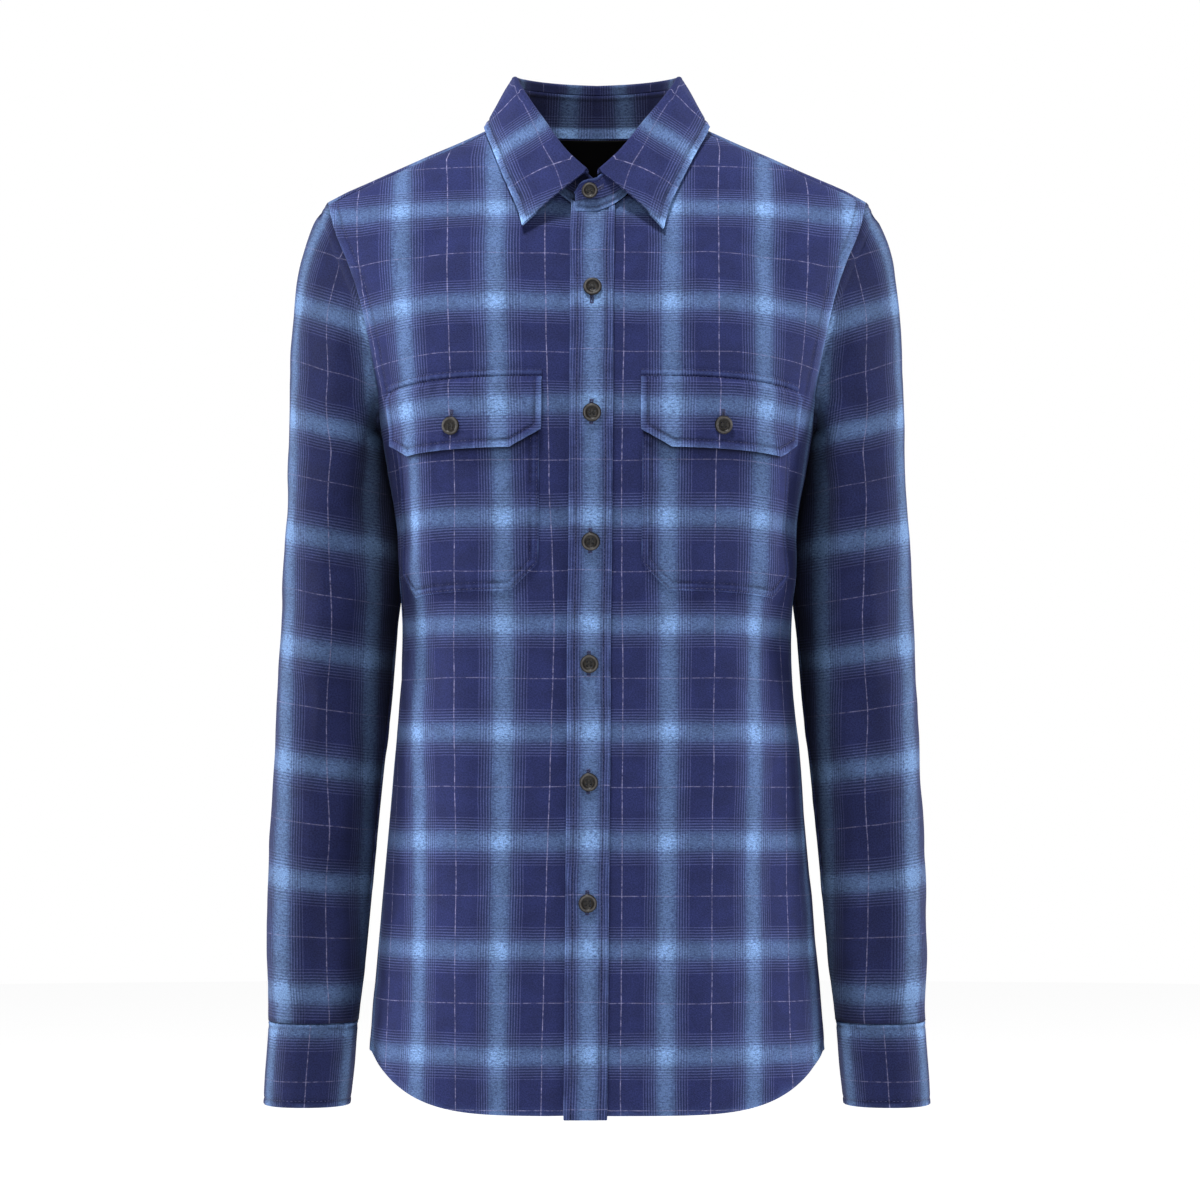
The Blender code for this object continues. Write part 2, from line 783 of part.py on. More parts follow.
def armhole_loop(u):
    """(point, normal, away) of the armhole on the wearer's left. u runs from the shoulder tip
    round the front, the underarm at 0.5 and the back, in closer steps where the edge bends most;
    away leads off the body's edge."""

    def at(u):
        u = u % 1.0
        u -= ARMHOLE_CROWDING * math.sin(4 * math.pi * u)
        half, share = ("front", 1 - 2 * u) if u <= 0.5 else ("back", 2 * u - 1)
        turn, z = armhole_walk(half, clamp(share))
        return form_point(half, turn, z), form_normal(half, turn, z)

    point, normal = at(u)
    before, after = at(u - 0.01)[0], at(u + 0.01)[0]
    if u < 0.02 or u > 0.98:
        tip = shoulder_line(SHOULDER_TIP_X)
        normal = Vector((0.35, -0.15, 1.0)).normalized()
        point = Vector((SHOULDER_TIP_X, -2.0, tip - 0.4))
        before, after = at(0.96)[0], at(0.04)[0]
    away = normal.cross(after - before).normalized()
    return point, normal, away


def sleeve_ring(u, z):
    angle = 2 * math.pi * u
    sine, cosine = math.sin(angle), math.cos(angle)
    radius = (abs(sine) ** SLEEVE_POWER + abs(cosine) ** SLEEVE_POWER) ** (-1 / SLEEVE_POWER)
    x = read(SLEEVE, "centre_x", z) + read(SLEEVE, "half_width", z) * radius * cosine
    y = read(SLEEVE, "centre_y", z) - read(SLEEVE, "half_depth", z) * radius * sine
    return Vector((x, y, z))


def clear_of_body(point):
    """Moves a point of the sleeve sideways until it hangs clear of the body below the armpit."""
    if point.z > ARMPIT_HEIGHT + 6:
        return point
    half = "front" if point.y < 0 else "back"
    power = FORM[half]["level_power"]
    depth = form_point(half, 0.001, min(point.z, FORM[half]["fullest"])).y
    share = clamp(abs(point.y / depth), 0.0, 0.98)
    side = read(BODY, "half_width", point.z) * (1 - share**power) ** (1 / power)
    fade = ease(ARMPIT_HEIGHT + 6 - point.z, 0.0, 10.0)
    least = side + SLEEVE_CLEARANCE * fade
    if point.x < least:
        point.x = least
    return point


def sleeve_skin(u, v):
    """The sleeve's outer skin: v is 0 at the armhole and 1 at the cuff seam."""
    if v >= HEAD_SHARE:
        z = mix(FREE_HEIGHT, CUFF_TOP + SEAM_GAP, (v - HEAD_SHARE) / (1 - HEAD_SHARE))
        return clear_of_body(sleeve_ring(u, z))
    t = v / HEAD_SHARE
    point, normal, away = armhole_loop(u)
    start = point + away * ARMHOLE_GAP
    end = sleeve_ring(u, FREE_HEIGHT)
    level = 0.5 + 0.5 * math.cos(2 * math.pi * u)
    heading = away * 0.6 + Vector((0.35, 0, -0.12 - 0.75 * level))
    reach = (end - start).length
    leave = heading.normalized() * reach * mix(0.75, 0.72, level)
    arrive = Vector((0.04, 0, -1)).normalized() * reach * 1.05
    t2, t3 = t * t, t * t * t
    skin = start * (2 * t3 - 3 * t2 + 1) + leave * (t3 - 2 * t2 + t)
    skin += end * (3 * t2 - 2 * t3) + arrive * (t3 - t2)
    return clear_of_body(skin)


def sleeve_point(u, v, lift):
    step = 0.004
    here = sleeve_skin(u, v)
    around = sleeve_skin((u + step) % 1.0, v) - sleeve_skin((u - step) % 1.0, v)
    down = sleeve_skin(u, min(v + step, 1.0)) - sleeve_skin(u, max(v - step, 0.0))
    normal = down.cross(around).normalized()
    if v < 0.06:
        body_normal = armhole_loop(u)[1]
        normal = body_normal.lerp(normal, ease(v, 0.0, 0.06)).normalized()
    return here + normal * lift


def mirrored(place, sign):
    def placed(u, v, lift):
        point = place(u, v, lift)
        point.x *= sign
        return point

    return placed


def cuff_point(u, v, lift):
    """u goes once round and on over the lap, which lies behind the wrist."""
    start = 0.70
    along = start + u * (1 + CUFF_LAP)
    z = mix(CUFF_FOOT, CUFF_TOP - SEAM_GAP, v)
    here = sleeve_ring(along % 1.0, z)
    centre = Vector((read(SLEEVE, "centre_x", z), read(SLEEVE, "centre_y", z), z))
    outward = (here - centre).normalized()
    over = ease(u, 0.80, 0.90) * (DOUBLE_CLOTH + LAP_GAP)
    return here + outward * (lift + over)


def sleeve_placket_point(u, v, lift):
    """A strip up the back of the sleeve from the cuff, with a pointed top."""
    z = mix(CUFF_TOP + SEAM_GAP, CUFF_TOP + SLEEVE_PLACKET_LENGTH, v)
    z -= 12.0 * abs(2 * u - 1) * ease(v, 0.6, 1.0)
    share = (FREE_HEIGHT - z) / (FREE_HEIGHT - CUFF_TOP - SEAM_GAP)
    middle = 0.765
    half_turn = SLEEVE_PLACKET_WIDTH / 2 / 285.0
    along = mix(middle - half_turn, middle + half_turn, u)
    return sleeve_point(along, HEAD_SHARE + (1 - HEAD_SHARE) * share, lift)


def sleeves():
    for sign, side in ((1, "left"), (-1, "right")):
        wall(
            "sleeve_" + side, GRIDS["sleeve"], mirrored(sleeve_point, sign), 0.0, -CLOTH, tube=True
        )
        wall("cuff_" + side, GRIDS["cuff"], mirrored(cuff_point, sign), 0.4, 0.4 - DOUBLE_CLOTH)
        wall(
            "sleeve_placket_" + side,
            GRIDS["sleeve_placket"],
            mirrored(sleeve_placket_point, sign),
            1.0 + CLOTH,
            1.0,
        )


# ---------------------------------------------------------------- buttons


def button(name, diameter, seat, normal):
    """A turned button with a raised rim and a dished middle, its back at seat."""
    radius = diameter / 2
    profile = (
        (0.0, 0.0),
        (0.72, 0.0),
        (1.0, 0.38),
        (0.97, 0.85),
        (0.86, 1.0),
        (0.72, 0.72),
        (0.0, 0.62),
    )
    bm = bmesh.new()
    points = [Vector((r * radius, 0, h * BUTTON_THICKNESS)) for r, h in profile]
    verts = [bm.verts.new(point) for point in points]
    edges = [bm.edges.new(pair) for pair in zip(verts, verts[1:])]
    bmesh.ops.spin(
        bm,
        geom=verts + edges,
        cent=(0, 0, 0),
        axis=(0, 0, 1),
        angle=math.tau,
        steps=BUTTON_SIDES,
        use_merge=True,
    )
    bmesh.ops.remove_doubles(bm, verts=bm.verts, dist=0.01)
    turn = normal.to_track_quat("Z", "Y").to_matrix()
    for vert in bm.verts:
        vert.co = turn @ vert.co + seat
    keep(bm, name, "horn_button")


def seated_button(name, diameter, place, gap=SEAM_GAP):
    """place(lift) gives the point under the button's middle, lift above the cloth."""
    seat, above = place(gap), place(gap + 5.0)
    button(name, diameter, seat, (above - seat).normalized())


def buttons():
    outside_placket = PLACKET_LIFT + DOUBLE_CLOTH

    def on_placket(z):
        x = button_line_x(z)
        return lambda lift: on_form("front", turn_at("front", x, z), z, outside_placket + lift)

    for index, z in enumerate(FRONT_BUTTON_HEIGHTS, start=1):
        seated_button(f"button_front_{index}", BUTTON_DIAMETER, on_placket(z), 0.5)

    def on_stand(lift):
        base, top = stand_place(0.985, 0.0, 0.0), stand_place(0.985, 1.0, 0.0)
        share = (COLLAR_BUTTON_HEIGHT - base.z) / (top.z - base.z)
        return stand_place(0.985, share, lift)

    seated_button("button_collar", COLLAR_BUTTON_DIAMETER, on_stand, -1.8)
    outside_flap = 3.4 + DOUBLE_CLOTH
    middle = POCKET_INSET + POCKET_WIDTH / 2
    for sign, side in ((1, "left"), (-1, "right")):
        seated_button(
            "button_flap_" + side,
            BUTTON_DIAMETER,
            lambda lift, sign=sign: level_point(
                sign, middle, FLAP_BUTTON_HEIGHT, outside_flap + lift
            ),
            0.6,
        )
        cuff_skin = mirrored(cuff_point, sign)
        seated_button(
            "button_cuff_" + side,
            CUFF_BUTTON_DIAMETER,
            lambda lift, skin=cuff_skin: skin(0.955, 0.5, 0.4 + lift),
            0.8,
        )


# ---------------------------------------------------------------- main


def clear_scene():
    for thing in list(bpy.data.objects):
        bpy.data.objects.remove(thing, do_unlink=True)


def fronts():
    lap = PLACKET_WIDTH / 2

    def sink_under(x):
        return -(CLOTH + LAP_GAP) * (1 - ease(x, lap + 12, lap + 34))

    front_panel("front_left", 1, lap, lambda x: 0.0)
    front_panel("front_right", -1, lap, sink_under)


def build():
    clear_scene()
    fronts()
    back_panel()
    yokes()
    front_placket()
    for side, name in ((1, "left"), (-1, "right")):
        pocket(side, "pocket_" + name)
        flap(side, "flap_" + name)
    collar()
    sleeves()
    buttons()


build()
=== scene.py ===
"""Plaid flannel utility shirt, filled out as if worn, with nobody in it.

Every cloth piece is a fine grid laid on the same body, sleeve and collar form as its solid, with
creases, seam puckers and topstitching worked into it. Each piece carries a UV map called
"cloth" in metres, across and along the goods, which the plaid is woven on.
Lengths are in millimetres until a mesh is finished, +Z up, front towards -Y.
"""

import functools
import math

import bmesh
import bpy
from mathutils import Matrix, Vector, noise


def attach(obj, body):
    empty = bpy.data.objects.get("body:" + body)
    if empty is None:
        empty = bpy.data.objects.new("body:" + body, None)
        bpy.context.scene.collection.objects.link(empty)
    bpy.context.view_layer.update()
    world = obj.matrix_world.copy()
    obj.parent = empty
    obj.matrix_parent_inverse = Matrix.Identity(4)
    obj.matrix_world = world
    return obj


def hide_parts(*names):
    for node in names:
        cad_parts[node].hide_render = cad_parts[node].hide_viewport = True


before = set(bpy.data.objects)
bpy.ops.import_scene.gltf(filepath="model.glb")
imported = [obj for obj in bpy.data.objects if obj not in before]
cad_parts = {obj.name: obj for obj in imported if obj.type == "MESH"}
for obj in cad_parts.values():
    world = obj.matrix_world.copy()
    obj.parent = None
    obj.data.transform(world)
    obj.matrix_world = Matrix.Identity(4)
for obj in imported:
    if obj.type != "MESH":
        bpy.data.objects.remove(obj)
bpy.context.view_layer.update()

MM = 0.001
SIDES = ((1, "left"), (-1, "right"))


def table_of(names, *rows):
    """Rows of numbers under named columns; curves are read from it by its first column."""
    return {"columns": names.split(), "rows": rows}


def levels(*heights):
    """The heights of light weft bands, each one repeat of the plaid above the last."""
    return table_of("height along", *((z, WEFT_REPEAT * n) for n, z in enumerate(heights)))


# Sizes shared with the solids, in millimetres.
CLOTH = 1.4
DOUBLE_CLOTH = 1.8
SEAM_GAP = 0.3
LAP_GAP = 1.95

ARMPIT_HEIGHT = -228.0
SHOULDER_TIP_X = 204.0
NECK_HALF_WIDTH = 68.0
NECK_FRONT_HEIGHT = -60.0
NECK_SIDE_HEIGHT = 10.0
NECK_BACK_HALF_WIDTH = 67.5
NECK_BACK_HEIGHT = 5.0
FRONT_SEAM_DROP = 3.0
YOKE_SEAM_HEIGHT = -92.0
YOKE_SEAM_DROOP = 6.0

FRONT_HEM_HEIGHT = -731.0
BACK_HEM_HEIGHT = -744.0
SIDE_HEM_HEIGHT = -689.0
HEM_POWER = 5.4

PLACKET_WIDTH = 32.5
PLACKET_FOOT = 3.0
PLACKET_LIFT = 1.1
BUTTON_LINE_TOP_X = -3.0
BUTTON_LINE_FOOT_X = -8.5

POCKET_WIDTH = 124.0
POCKET_INSET = 38.0
POCKET_TOP = -199.0
POCKET_FOOT = -342.0
POCKET_CORNER = 20.0
FLAP_OVERHANG = 1.5
FLAP_TOP = -184.0
FLAP_FOOT = -236.0
FLAP_CORNER_WIDE = 23.0
FLAP_CORNER_HIGH = 13.0
POCKET_DROOP = 11.0

BUTTON_DIAMETER = 13.8
COLLAR_BUTTON_DIAMETER = 12.0
CUFF_BUTTON_DIAMETER = 11.4
FRONT_BUTTON_HEIGHTS = (-118.5, -211.0, -306.0, -397.0, -484.5, -574.0)
FLAP_BUTTON_HEIGHT = -221.0

CUFF_TOP = -668.0
CUFF_FOOT = -731.0
CUFF_LAP = 0.10
SLEEVE_PLACKET_WIDTH = 25.0
SLEEVE_PLACKET_LENGTH = 130.0
SLEEVE_CLEARANCE = 1.6
ARMHOLE_STEPS = 120
ARMHOLE_CROWDING = 0.02
FREE_HEIGHT = -275.0
WAIST_HEIGHT = -372.0
HEAD_SHARE = 0.42

# How each half of the body form bulges: the power of its level sections, the power with which it
# rounds over to the shoulder line, and the height of its fullest part.
FORM = {
    "front": {"side": -1, "level_power": 3.0, "over_power": 1.5, "fullest": -190.0},
    "back": {"side": 1, "level_power": 2.7, "over_power": 1.7, "fullest": -150.0},
}

# Level sections of the body. Above the armpit the width is that of the form, which the armholes
# cut before it is reached.
BODY = table_of(
    "height half_width front_depth back_depth",
    (-760, 176.5, 112, 122),
    (-690, 172.5, 111, 120),
    (-588, 164.0, 108, 115),
    (-486, 155.0, 105, 105),
    (-384, 147.6, 101, 94),
    (-300, 153.5, 107, 98),
    (-228, 163.6, 112, 107),
    (-207, 165.2, 112, 109),
    (-176, 171.5, 111, 110),
    (-150, 178.5, 110, 110),
    (-116, 191.0, 110, 109),
    (-95, 200.0, 109, 108),
    (-71, 213.0, 109, 108),
    (-49, 226.0, 109, 108),
    (50, 246.0, 109, 108),
)

# Where the armhole cuts the form, seen from the front and from the back.
ARMHOLE = table_of(
    "height front_x back_x",
    (-207, 162.0, 163.0),
    (-176, 167.5, 166.5),
    (-150, 172.5, 172.5),
    (-133, 176.0, 178.0),
    (-116, 180.5, 185.0),
    (-95, 188.0, 193.0),
    (-71, 198.0, 200.0),
    (-49, 204.0, 204.0),
)
# The underarm curve joins the two at the side seam: its turn at each height.
UNDERARM = table_of(
    "height front_turn back_turn",
    (-228, 0.999, 0.999),
    (-226, 0.96, 0.96),
    (-220, 0.90, 0.895),
)

# Level sections of the sleeve, below the height where it hangs free of the shoulder.
SLEEVE = table_of(
    "height centre_x centre_y half_width half_depth",
    (-732, 219.8, -9.0, 32.3, 41.0),
    (-667, 215.0, -7.0, 33.2, 43.0),
    (-630, 213.2, -6.0, 35.8, 46.0),
    (-562, 209.8, -3.0, 38.8, 50.0),
    (-479, 204.0, 1.0, 41.0, 54.0),
    (-415, 199.0, 4.0, 43.0, 57.0),
    (-343, 195.3, 7.0, 43.5, 60.0),
    (-275, 201.0, 9.0, 33.5, 66.0),
)
SLEEVE_POWER = 2.3

# The neck, from centre front round to centre back: the collar's fold line and the outer edge of
# its leaf as (x, y, z), how far the fold line stands above the stand's top seam, and how far the
# leaf's outer edge lies off the body.
NECK = table_of(
    "around fold_x fold_y fold_z rise edge_x edge_z edge_y edge_lift",
    (0.00, 0.0, -77.0, -33.5, 4.0, 51.5, -75.0, -82.0, 5.5),
    (0.12, 19.0, -63.5, -15.0, 4.0, 56.0, -59.0, -76.0, 4.0),
    (0.28, 36.0, -44.0, 8.5, 5.0, 65.0, -38.5, -60.0, 3.2),
    (0.43, 50.0, -27.0, 28.0, 6.5, 76.0, -13.5, -38.0, 3.2),
    (0.55, 58.3, -11.0, 41.5, 7.5, 86.0, 9.5, -9.0, 0.0),
    (0.62, 60.0, 4.0, 46.0, 8.0, 84.5, 10.5, 10.0, 0.0),
    (0.71, 55.5, 23.0, 46.2, 8.0, 74.0, 7.0, 33.0, 0.0),
    (0.81, 41.0, 39.0, 45.3, 7.5, 51.0, 3.5, 54.0, 0.0),
    (0.90, 21.0, 48.5, 44.4, 7.5, 26.0, 1.5, 64.0, 0.0),
    (1.00, 0.0, 52.0, 43.8, 7.5, 0.0, 1.0, 67.0, 0.0),
)
LEAF_CENTRE_GAP = 0.02
STAND_LAP = 13.3
STAND_SEAM_GAP = 1.8

# ---------------------------------------------------------------- numbers and tables


def clamp(value, low=0.0, high=1.0):
    return min(max(value, low), high)


def mix(a, b, share):
    return a + (b - a) * share


def ease(value, low=0.0, high=1.0):
    share = clamp((value - low) / (high - low))
    return share * share * (3 - 2 * share)


def swell(value, start, full, fading, end):
    """Rises from 0 at start to 1 at full, and falls from there at fading to 0 again at end."""
    return ease(value, start, full) * (1 - ease(value, fading, end))


def bell(off, width):
    """1 in the middle, where off is 0, and dying away over a few times the width."""
    return math.exp(-((off / width) ** 2))


def outer(u):
    """1 at the outer edge of a sleeve, where u is 0, and 0 opposite, beside the body."""
    return 0.5 + 0.5 * math.cos(math.tau * u)


CURVES = {}
CURVE_STEPS = 3000


def curve(table, name):
    """One named column as a smooth curve through its rows, sampled at CURVE_STEPS even places."""
    index = table["columns"].index(name)
    xs = [row[0] for row in table["rows"]]
    ys = [row[index] for row in table["rows"]]
    rises = [(ys[i + 1] - ys[i]) / (xs[i + 1] - xs[i]) for i in range(len(xs) - 1)]
    slopes = [rises[0]]
    for before, after in zip(rises, rises[1:]):
        slopes.append(0.0 if before * after <= 0 else 2 * before * after / (before + after))
    slopes.append(rises[-1])
    samples, i = [], 0
    for step in range(CURVE_STEPS + 1):
        at = mix(xs[0], xs[-1], step / CURVE_STEPS)
        while i < len(xs) - 2 and at > xs[i + 1]:
            i += 1
        width = xs[i + 1] - xs[i]
        t = (at - xs[i]) / width
        start = (1 + 2 * t) * (1 - t) ** 2 * ys[i] + t * (1 - t) ** 2 * width * slopes[i]
        end = t * t * (3 - 2 * t) * ys[i + 1] + t * t * (t - 1) * width * slopes[i + 1]
        samples.append(start + end)
    CURVES[id(table), name] = (samples, xs[0], CURVE_STEPS / (xs[-1] - xs[0]))
    return CURVES[id(table), name]


def read(table, name, at):
    """The smooth curve through one named column, at a value of the table's first column."""
    samples, low, scale = CURVES.get((id(table), name)) or curve(table, name)
    place = (at - low) * scale
    if place <= 0:
        return samples[0]
    if place >= CURVE_STEPS:
        return samples[-1]
    index = int(place)
    return samples[index] + (samples[index + 1] - samples[index]) * (place - index)


def halved(low, high, holds, rounds):
    """The place between low and high up to which holds(place) is true, found by halving."""
    for _ in range(rounds):
        middle = (low + high) / 2
        if holds(middle):
            low = middle
        else:
            high = middle
    return low


def lengths_along(points):
    """The length walked from the first of some points to each of them."""
    lengths = [0.0]
    for here, following in zip(points, points[1:]):
        lengths.append(lengths[-1] + (following - here).length)
    return lengths


def length_at(lengths, place):
    """A length read between two of a list, at a place counted in its steps."""
    index = min(int(place), len(lengths) - 2)
    return mix(lengths[index], lengths[index + 1], place - index)


def mirrored(sign, *vectors):
    """Carries vectors of the wearer's left over to the side that sign says, in place."""
    for vector in vectors:
        vector.x *= sign


# ---------------------------------------------------------------- the body form


def shoulder_line(x):
    """Height of the shoulder line: straight to the tip, and level across the neck."""
    x = abs(x)
    if x < 24.0:
        x = (x * x / 24.0 + 24.0) / 2
    straight = 44.0 - 0.44 * x
    return straight - 0.10 * max(0.0, x - 190.0)


def turn_at(half, x, z):
    """The turn at which the form's level section at z passes x."""
    power = FORM[half]["level_power"]
    share = clamp(abs(x) / read(BODY, "half_width", z), 0.0, 0.99999)
    depth_share = (1 - share**power) ** (1 / power)
    return math.copysign(math.atan2(share, depth_share) / (math.pi / 2), x)


def form_point(half, turn, z):
    form = FORM[half]
    power = form["level_power"]
    angle = abs(turn) * math.pi / 2
    sine, cosine = math.sin(angle), max(math.cos(angle), 0.0)
    radius = (sine**power + cosine**power) ** (-1 / power)
    x = math.copysign(read(BODY, "half_width", z) * radius * sine, turn)
    over = form["over_power"]
    height_share = clamp((z - form["fullest"]) / (shoulder_line(x) - form["fullest"]))
    fullness = (1 - height_share**over) ** (1 / over)
    depth = read(BODY, half + "_depth", z) * radius * cosine * fullness
    return Vector((x, form["side"] * depth, z))


def form_normal(half, turn, z):
    """Outward unit normal of the form."""
    step_turn, step_z = 0.002, 0.4
    along = form_point(half, turn + step_turn, z) - form_point(half, turn - step_turn, z)
    down = form_point(half, turn, z - step_z) - form_point(half, turn, z)
    if down.length < 1e-6:
        down = Vector((0, FORM[half]["side"], 0))
    normal = along.cross(down).normalized()
    return -normal if half == "front" else normal


def form_seat(half, turn, z):
    """(point, outward) of a place on the form."""
    return form_point(half, turn, z), form_normal(half, turn, z)


def over_shoulder(x, root):
    """(half, turn, z) of a place near the shoulder line. root is the root of the drop below the
    line, behind it where positive and in front of it where negative."""
    half = "back" if root >= 0 else "front"
    z = shoulder_line(x) - root * root
    return half, turn_at(half, x, z), z


# ---------------------------------------------------------------- seams on the form


def armhole(half, share):
    """(turn, z) along one half of the armhole, from the underarm at 0 to the shoulder at 1."""
    split = 0.18
    if share <= split:
        low, high = UNDERARM["rows"][0][0], UNDERARM["rows"][-1][0]
        z = mix(low, high, (share / split) ** 1.6)
        return read(UNDERARM, half + "_turn", z), z
    low = UNDERARM["rows"][-1][0]
    tip = shoulder_line(SHOULDER_TIP_X)
    if half == "front":
        tip -= FRONT_SEAM_DROP
    z = mix(low, tip, (share - split) / (1 - split))
    x = read(ARMHOLE, half + "_x", z)
    turn = turn_at(half, x, z)
    start = read(UNDERARM, half + "_turn", low)
    return mix(start, turn, ease(z, low, -190.0)), z


def armhole_share(half, z):
    """The share of armhole(half, share) that lies at height z."""
    return halved(0.0, 1.0, lambda share: armhole(half, share)[1] < z, 30)


def button_line_x(z):
    share = clamp((NECK_FRONT_HEIGHT - z) / (NECK_FRONT_HEIGHT - FRONT_HEM_HEIGHT))
    return mix(BUTTON_LINE_TOP_X, BUTTON_LINE_FOOT_X, share)


def front_neck_height(x):
    """Height of the neck seam on the fronts, seen from the front."""
    rise = NECK_SIDE_HEIGHT - NECK_FRONT_HEIGHT
    return NECK_FRONT_HEIGHT + rise * clamp(abs(x) / NECK_HALF_WIDTH) ** 1.6


def back_neck(angle):
    """(x, root) of the neck seam behind the shoulder line, level behind the neck; angle is 0 at
    the centre back."""
    x = NECK_BACK_HALF_WIDTH * math.sin(angle)
    top = shoulder_line(x)
    z = mix(NECK_BACK_HEIGHT, top, ease(x, 40.0, NECK_BACK_HALF_WIDTH) ** 1.5)
    return x, math.sqrt(max(top - z, 0.0))


def hem_height(half, x, z):
    low = FRONT_HEM_HEIGHT if half == "front" else BACK_HEM_HEIGHT
    share = clamp(abs(x) / read(BODY, "half_width", z))
    return low + (SIDE_HEM_HEIGHT - low) * share**HEM_POWER


def yoke_seam_height(x):
    return YOKE_SEAM_HEIGHT - YOKE_SEAM_DROOP * (abs(x) / SHOULDER_TIP_X) ** 2


# ---------------------------------------------------------------- plaid layout

WARP_REPEAT = 70.5
WEFT_REPEAT = 80.5

# Heights of the light weft bands on the fronts, each one repeat above the last.
FRONT_LEVELS = levels(
    -848.0, -767.5, -687.0, -608.9, -528.4, -447.8, -367.7, -288.7, -204.5, -128.0, -56.0, 8.0, 70.0
)
# The same on the sleeves, at their outer edge.
SLEEVE_LEVELS = levels(-732.0, -644.5, -557.0, -469.5, -382.5, -297.0, -210.5, -124.5, -38.0)
SLEEVE_SLOPE = table_of(
    "height slope",
    (-740, 0.02), (-640, 0.03), (-540, 0.13), (-400, 0.16), (-290, 0.20), (-200, 0.30), (-40, 0.36),
)
# How far the two light warp bands of each front lie from the button line, seen from the front.
FRONT_BANDS = table_of(
    "height right_1 right_2 left_1 left_2",
    (-740, 65.0, 126.0, 59.5, 125.0),
    (-708, 65.0, 126.4, 59.1, 124.9),
    (-412, 63.8, 128.6, 59.1, 123.6),
    (-262, 65.8, 130.4, 57.9, 124.9),
    (-160, 70.2, 139.0, 59.1, 128.4),
    (-89, 72.2, 143.8, 58.8, 128.4),
    (20, 73.0, 145.0, 59.0, 129.0),
)
# How much lower the level threads hang at the sides of the fronts than in the middle.
SIDE_DROOP = table_of(
    "height droop",
    (-740, 0), (-600, 1.5), (-450, 3), (-370, 6), (-290, 9),
    (-200, 10), (-130, 8), (-60, 3), (0, 0),
)


GIRTH_STEP = 8.0
GIRTH_TURNS = 50


@functools.cache
def girth_at_step(half, step):
    """Lengths of cloth from the middle to each of GIRTH_TURNS even turns, round the form's level
    section at a height of GIRTH_STEP times step."""
    turns = [share / GIRTH_TURNS for share in range(GIRTH_TURNS + 1)]
    return lengths_along([form_point(half, turn, step * GIRTH_STEP) for turn in turns])


def girth(half, turn, z):
    """Length of cloth from the middle of the form round to a turn, signed as the turn is."""
    low = math.floor(z / GIRTH_STEP)
    place = min(abs(turn), 1.0) * GIRTH_TURNS
    under, over = (length_at(girth_at_step(half, step), place) for step in (low, low + 1))
    return math.copysign(mix(under, over, z / GIRTH_STEP - low), turn)


def girth_at_x(half, x, z):
    return girth(half, turn_at(half, x, z), z)


def front_cloth(turn, z):
    """(across, along) of the goods at a place on either front."""
    x = form_point("front", turn, z).x
    middle = button_line_x(z)
    side = "left" if x >= middle else "right"
    sign = 1 if side == "left" else -1
    near, far = read(FRONT_BANDS, side + "_1", z), read(FRONT_BANDS, side + "_2", z)
    near = girth_at_x("front", middle + sign * near, z)
    far = girth_at_x("front", middle + sign * far, z)
    across = WARP_REPEAT * (1 + (girth("front", turn, z) - near) / (far - near))
    out = clamp((abs(x - middle) - 100) / 62, 0.0, 1.2)
    level = z + read(SIDE_DROOP, "droop", z) * out**1.7
    return across * sign, read(FRONT_LEVELS, "along", level)


def back_cloth(turn, z):
    x = form_point("back", turn, z).x
    out = clamp((abs(x) - 100) / 62, 0.0, 1.2)
    level = z + read(SIDE_DROOP, "droop", z) * 0.6 * out**1.7
    return girth("back", turn, z), read(FRONT_LEVELS, "along", level)


# ---------------------------------------------------------------- creases, puckers and stitches

# How strongly the folds and the seams' gathers stand out.
FOLD_DEPTH = 2.1
STITCH_PULL = 1.4
# How far the rows of stitches lie from the edges they hold.
HEM_STITCH = 8.0
ARMHOLE_STITCH = 7.0
EDGE_STITCH = 5.5
POCKET_STITCHES = (1.8, EDGE_STITCH + 1.0)
BINDING_HEIGHT = 7.0
BINDING_STITCHES = (1.2, 6.0)
LEAF_STITCH = 6.0
CUFF_FOOT_STITCH = 5.0
CUFF_TOP_STITCH = 4.0


def crease(point, folds):
    """Height of a set of soft folds at (x, z). Each fold is (x, z, x, z, width, height): a ridge
    where its height is positive and a trough where it is negative, dying away at both ends."""
    total = 0.0
    for x1, z1, x2, z2, width, height in folds:
        run = Vector((x2 - x1, z2 - z1))
        rel = Vector((point.x - x1, point.z - z1))
        share = rel.dot(run) / run.length_squared
        if share < -0.15 or share > 1.15:
            continue
        off = (rel - run * share).length / width
        if off > 3:
            continue
        ends = swell(share, -0.15, 0.3, 0.7, 1.15)
        total += height * math.exp(-off * off) * ends
    return total * FOLD_DEPTH


def unevenness(point, size, height):
    """A gentle, fixed unevenness of hung cloth."""
    return height * noise.noise(Vector((point.x, point.y * 0.6, point.z)) / size)


def groove(distance, depth=0.6, width=1.1):
    """The dip that a row of stitches pulls into the cloth."""
    off = distance / width
    return -STITCH_PULL * depth * math.exp(-off * off) if abs(off) < 3 else 0.0


def pucker(distance, along, height=0.25, reach=6.0, pitch=9.0, seed=0.0):
    """Small gathers beside a seam: they run away from it and die out."""
    if abs(distance) > reach * 2.5:
        return 0.0
    wander = noise.noise(Vector((along / 23.0, seed, 0.0)))
    fullness = 0.6 + 0.8 * abs(noise.noise(Vector((along / 31.0, seed + 5.0, 1.0))))
    wave = math.sin(2 * math.pi * (along / pitch + 0.8 * wander))
    return STITCH_PULL * height * fullness * wave * math.exp(-abs(distance) / reach)


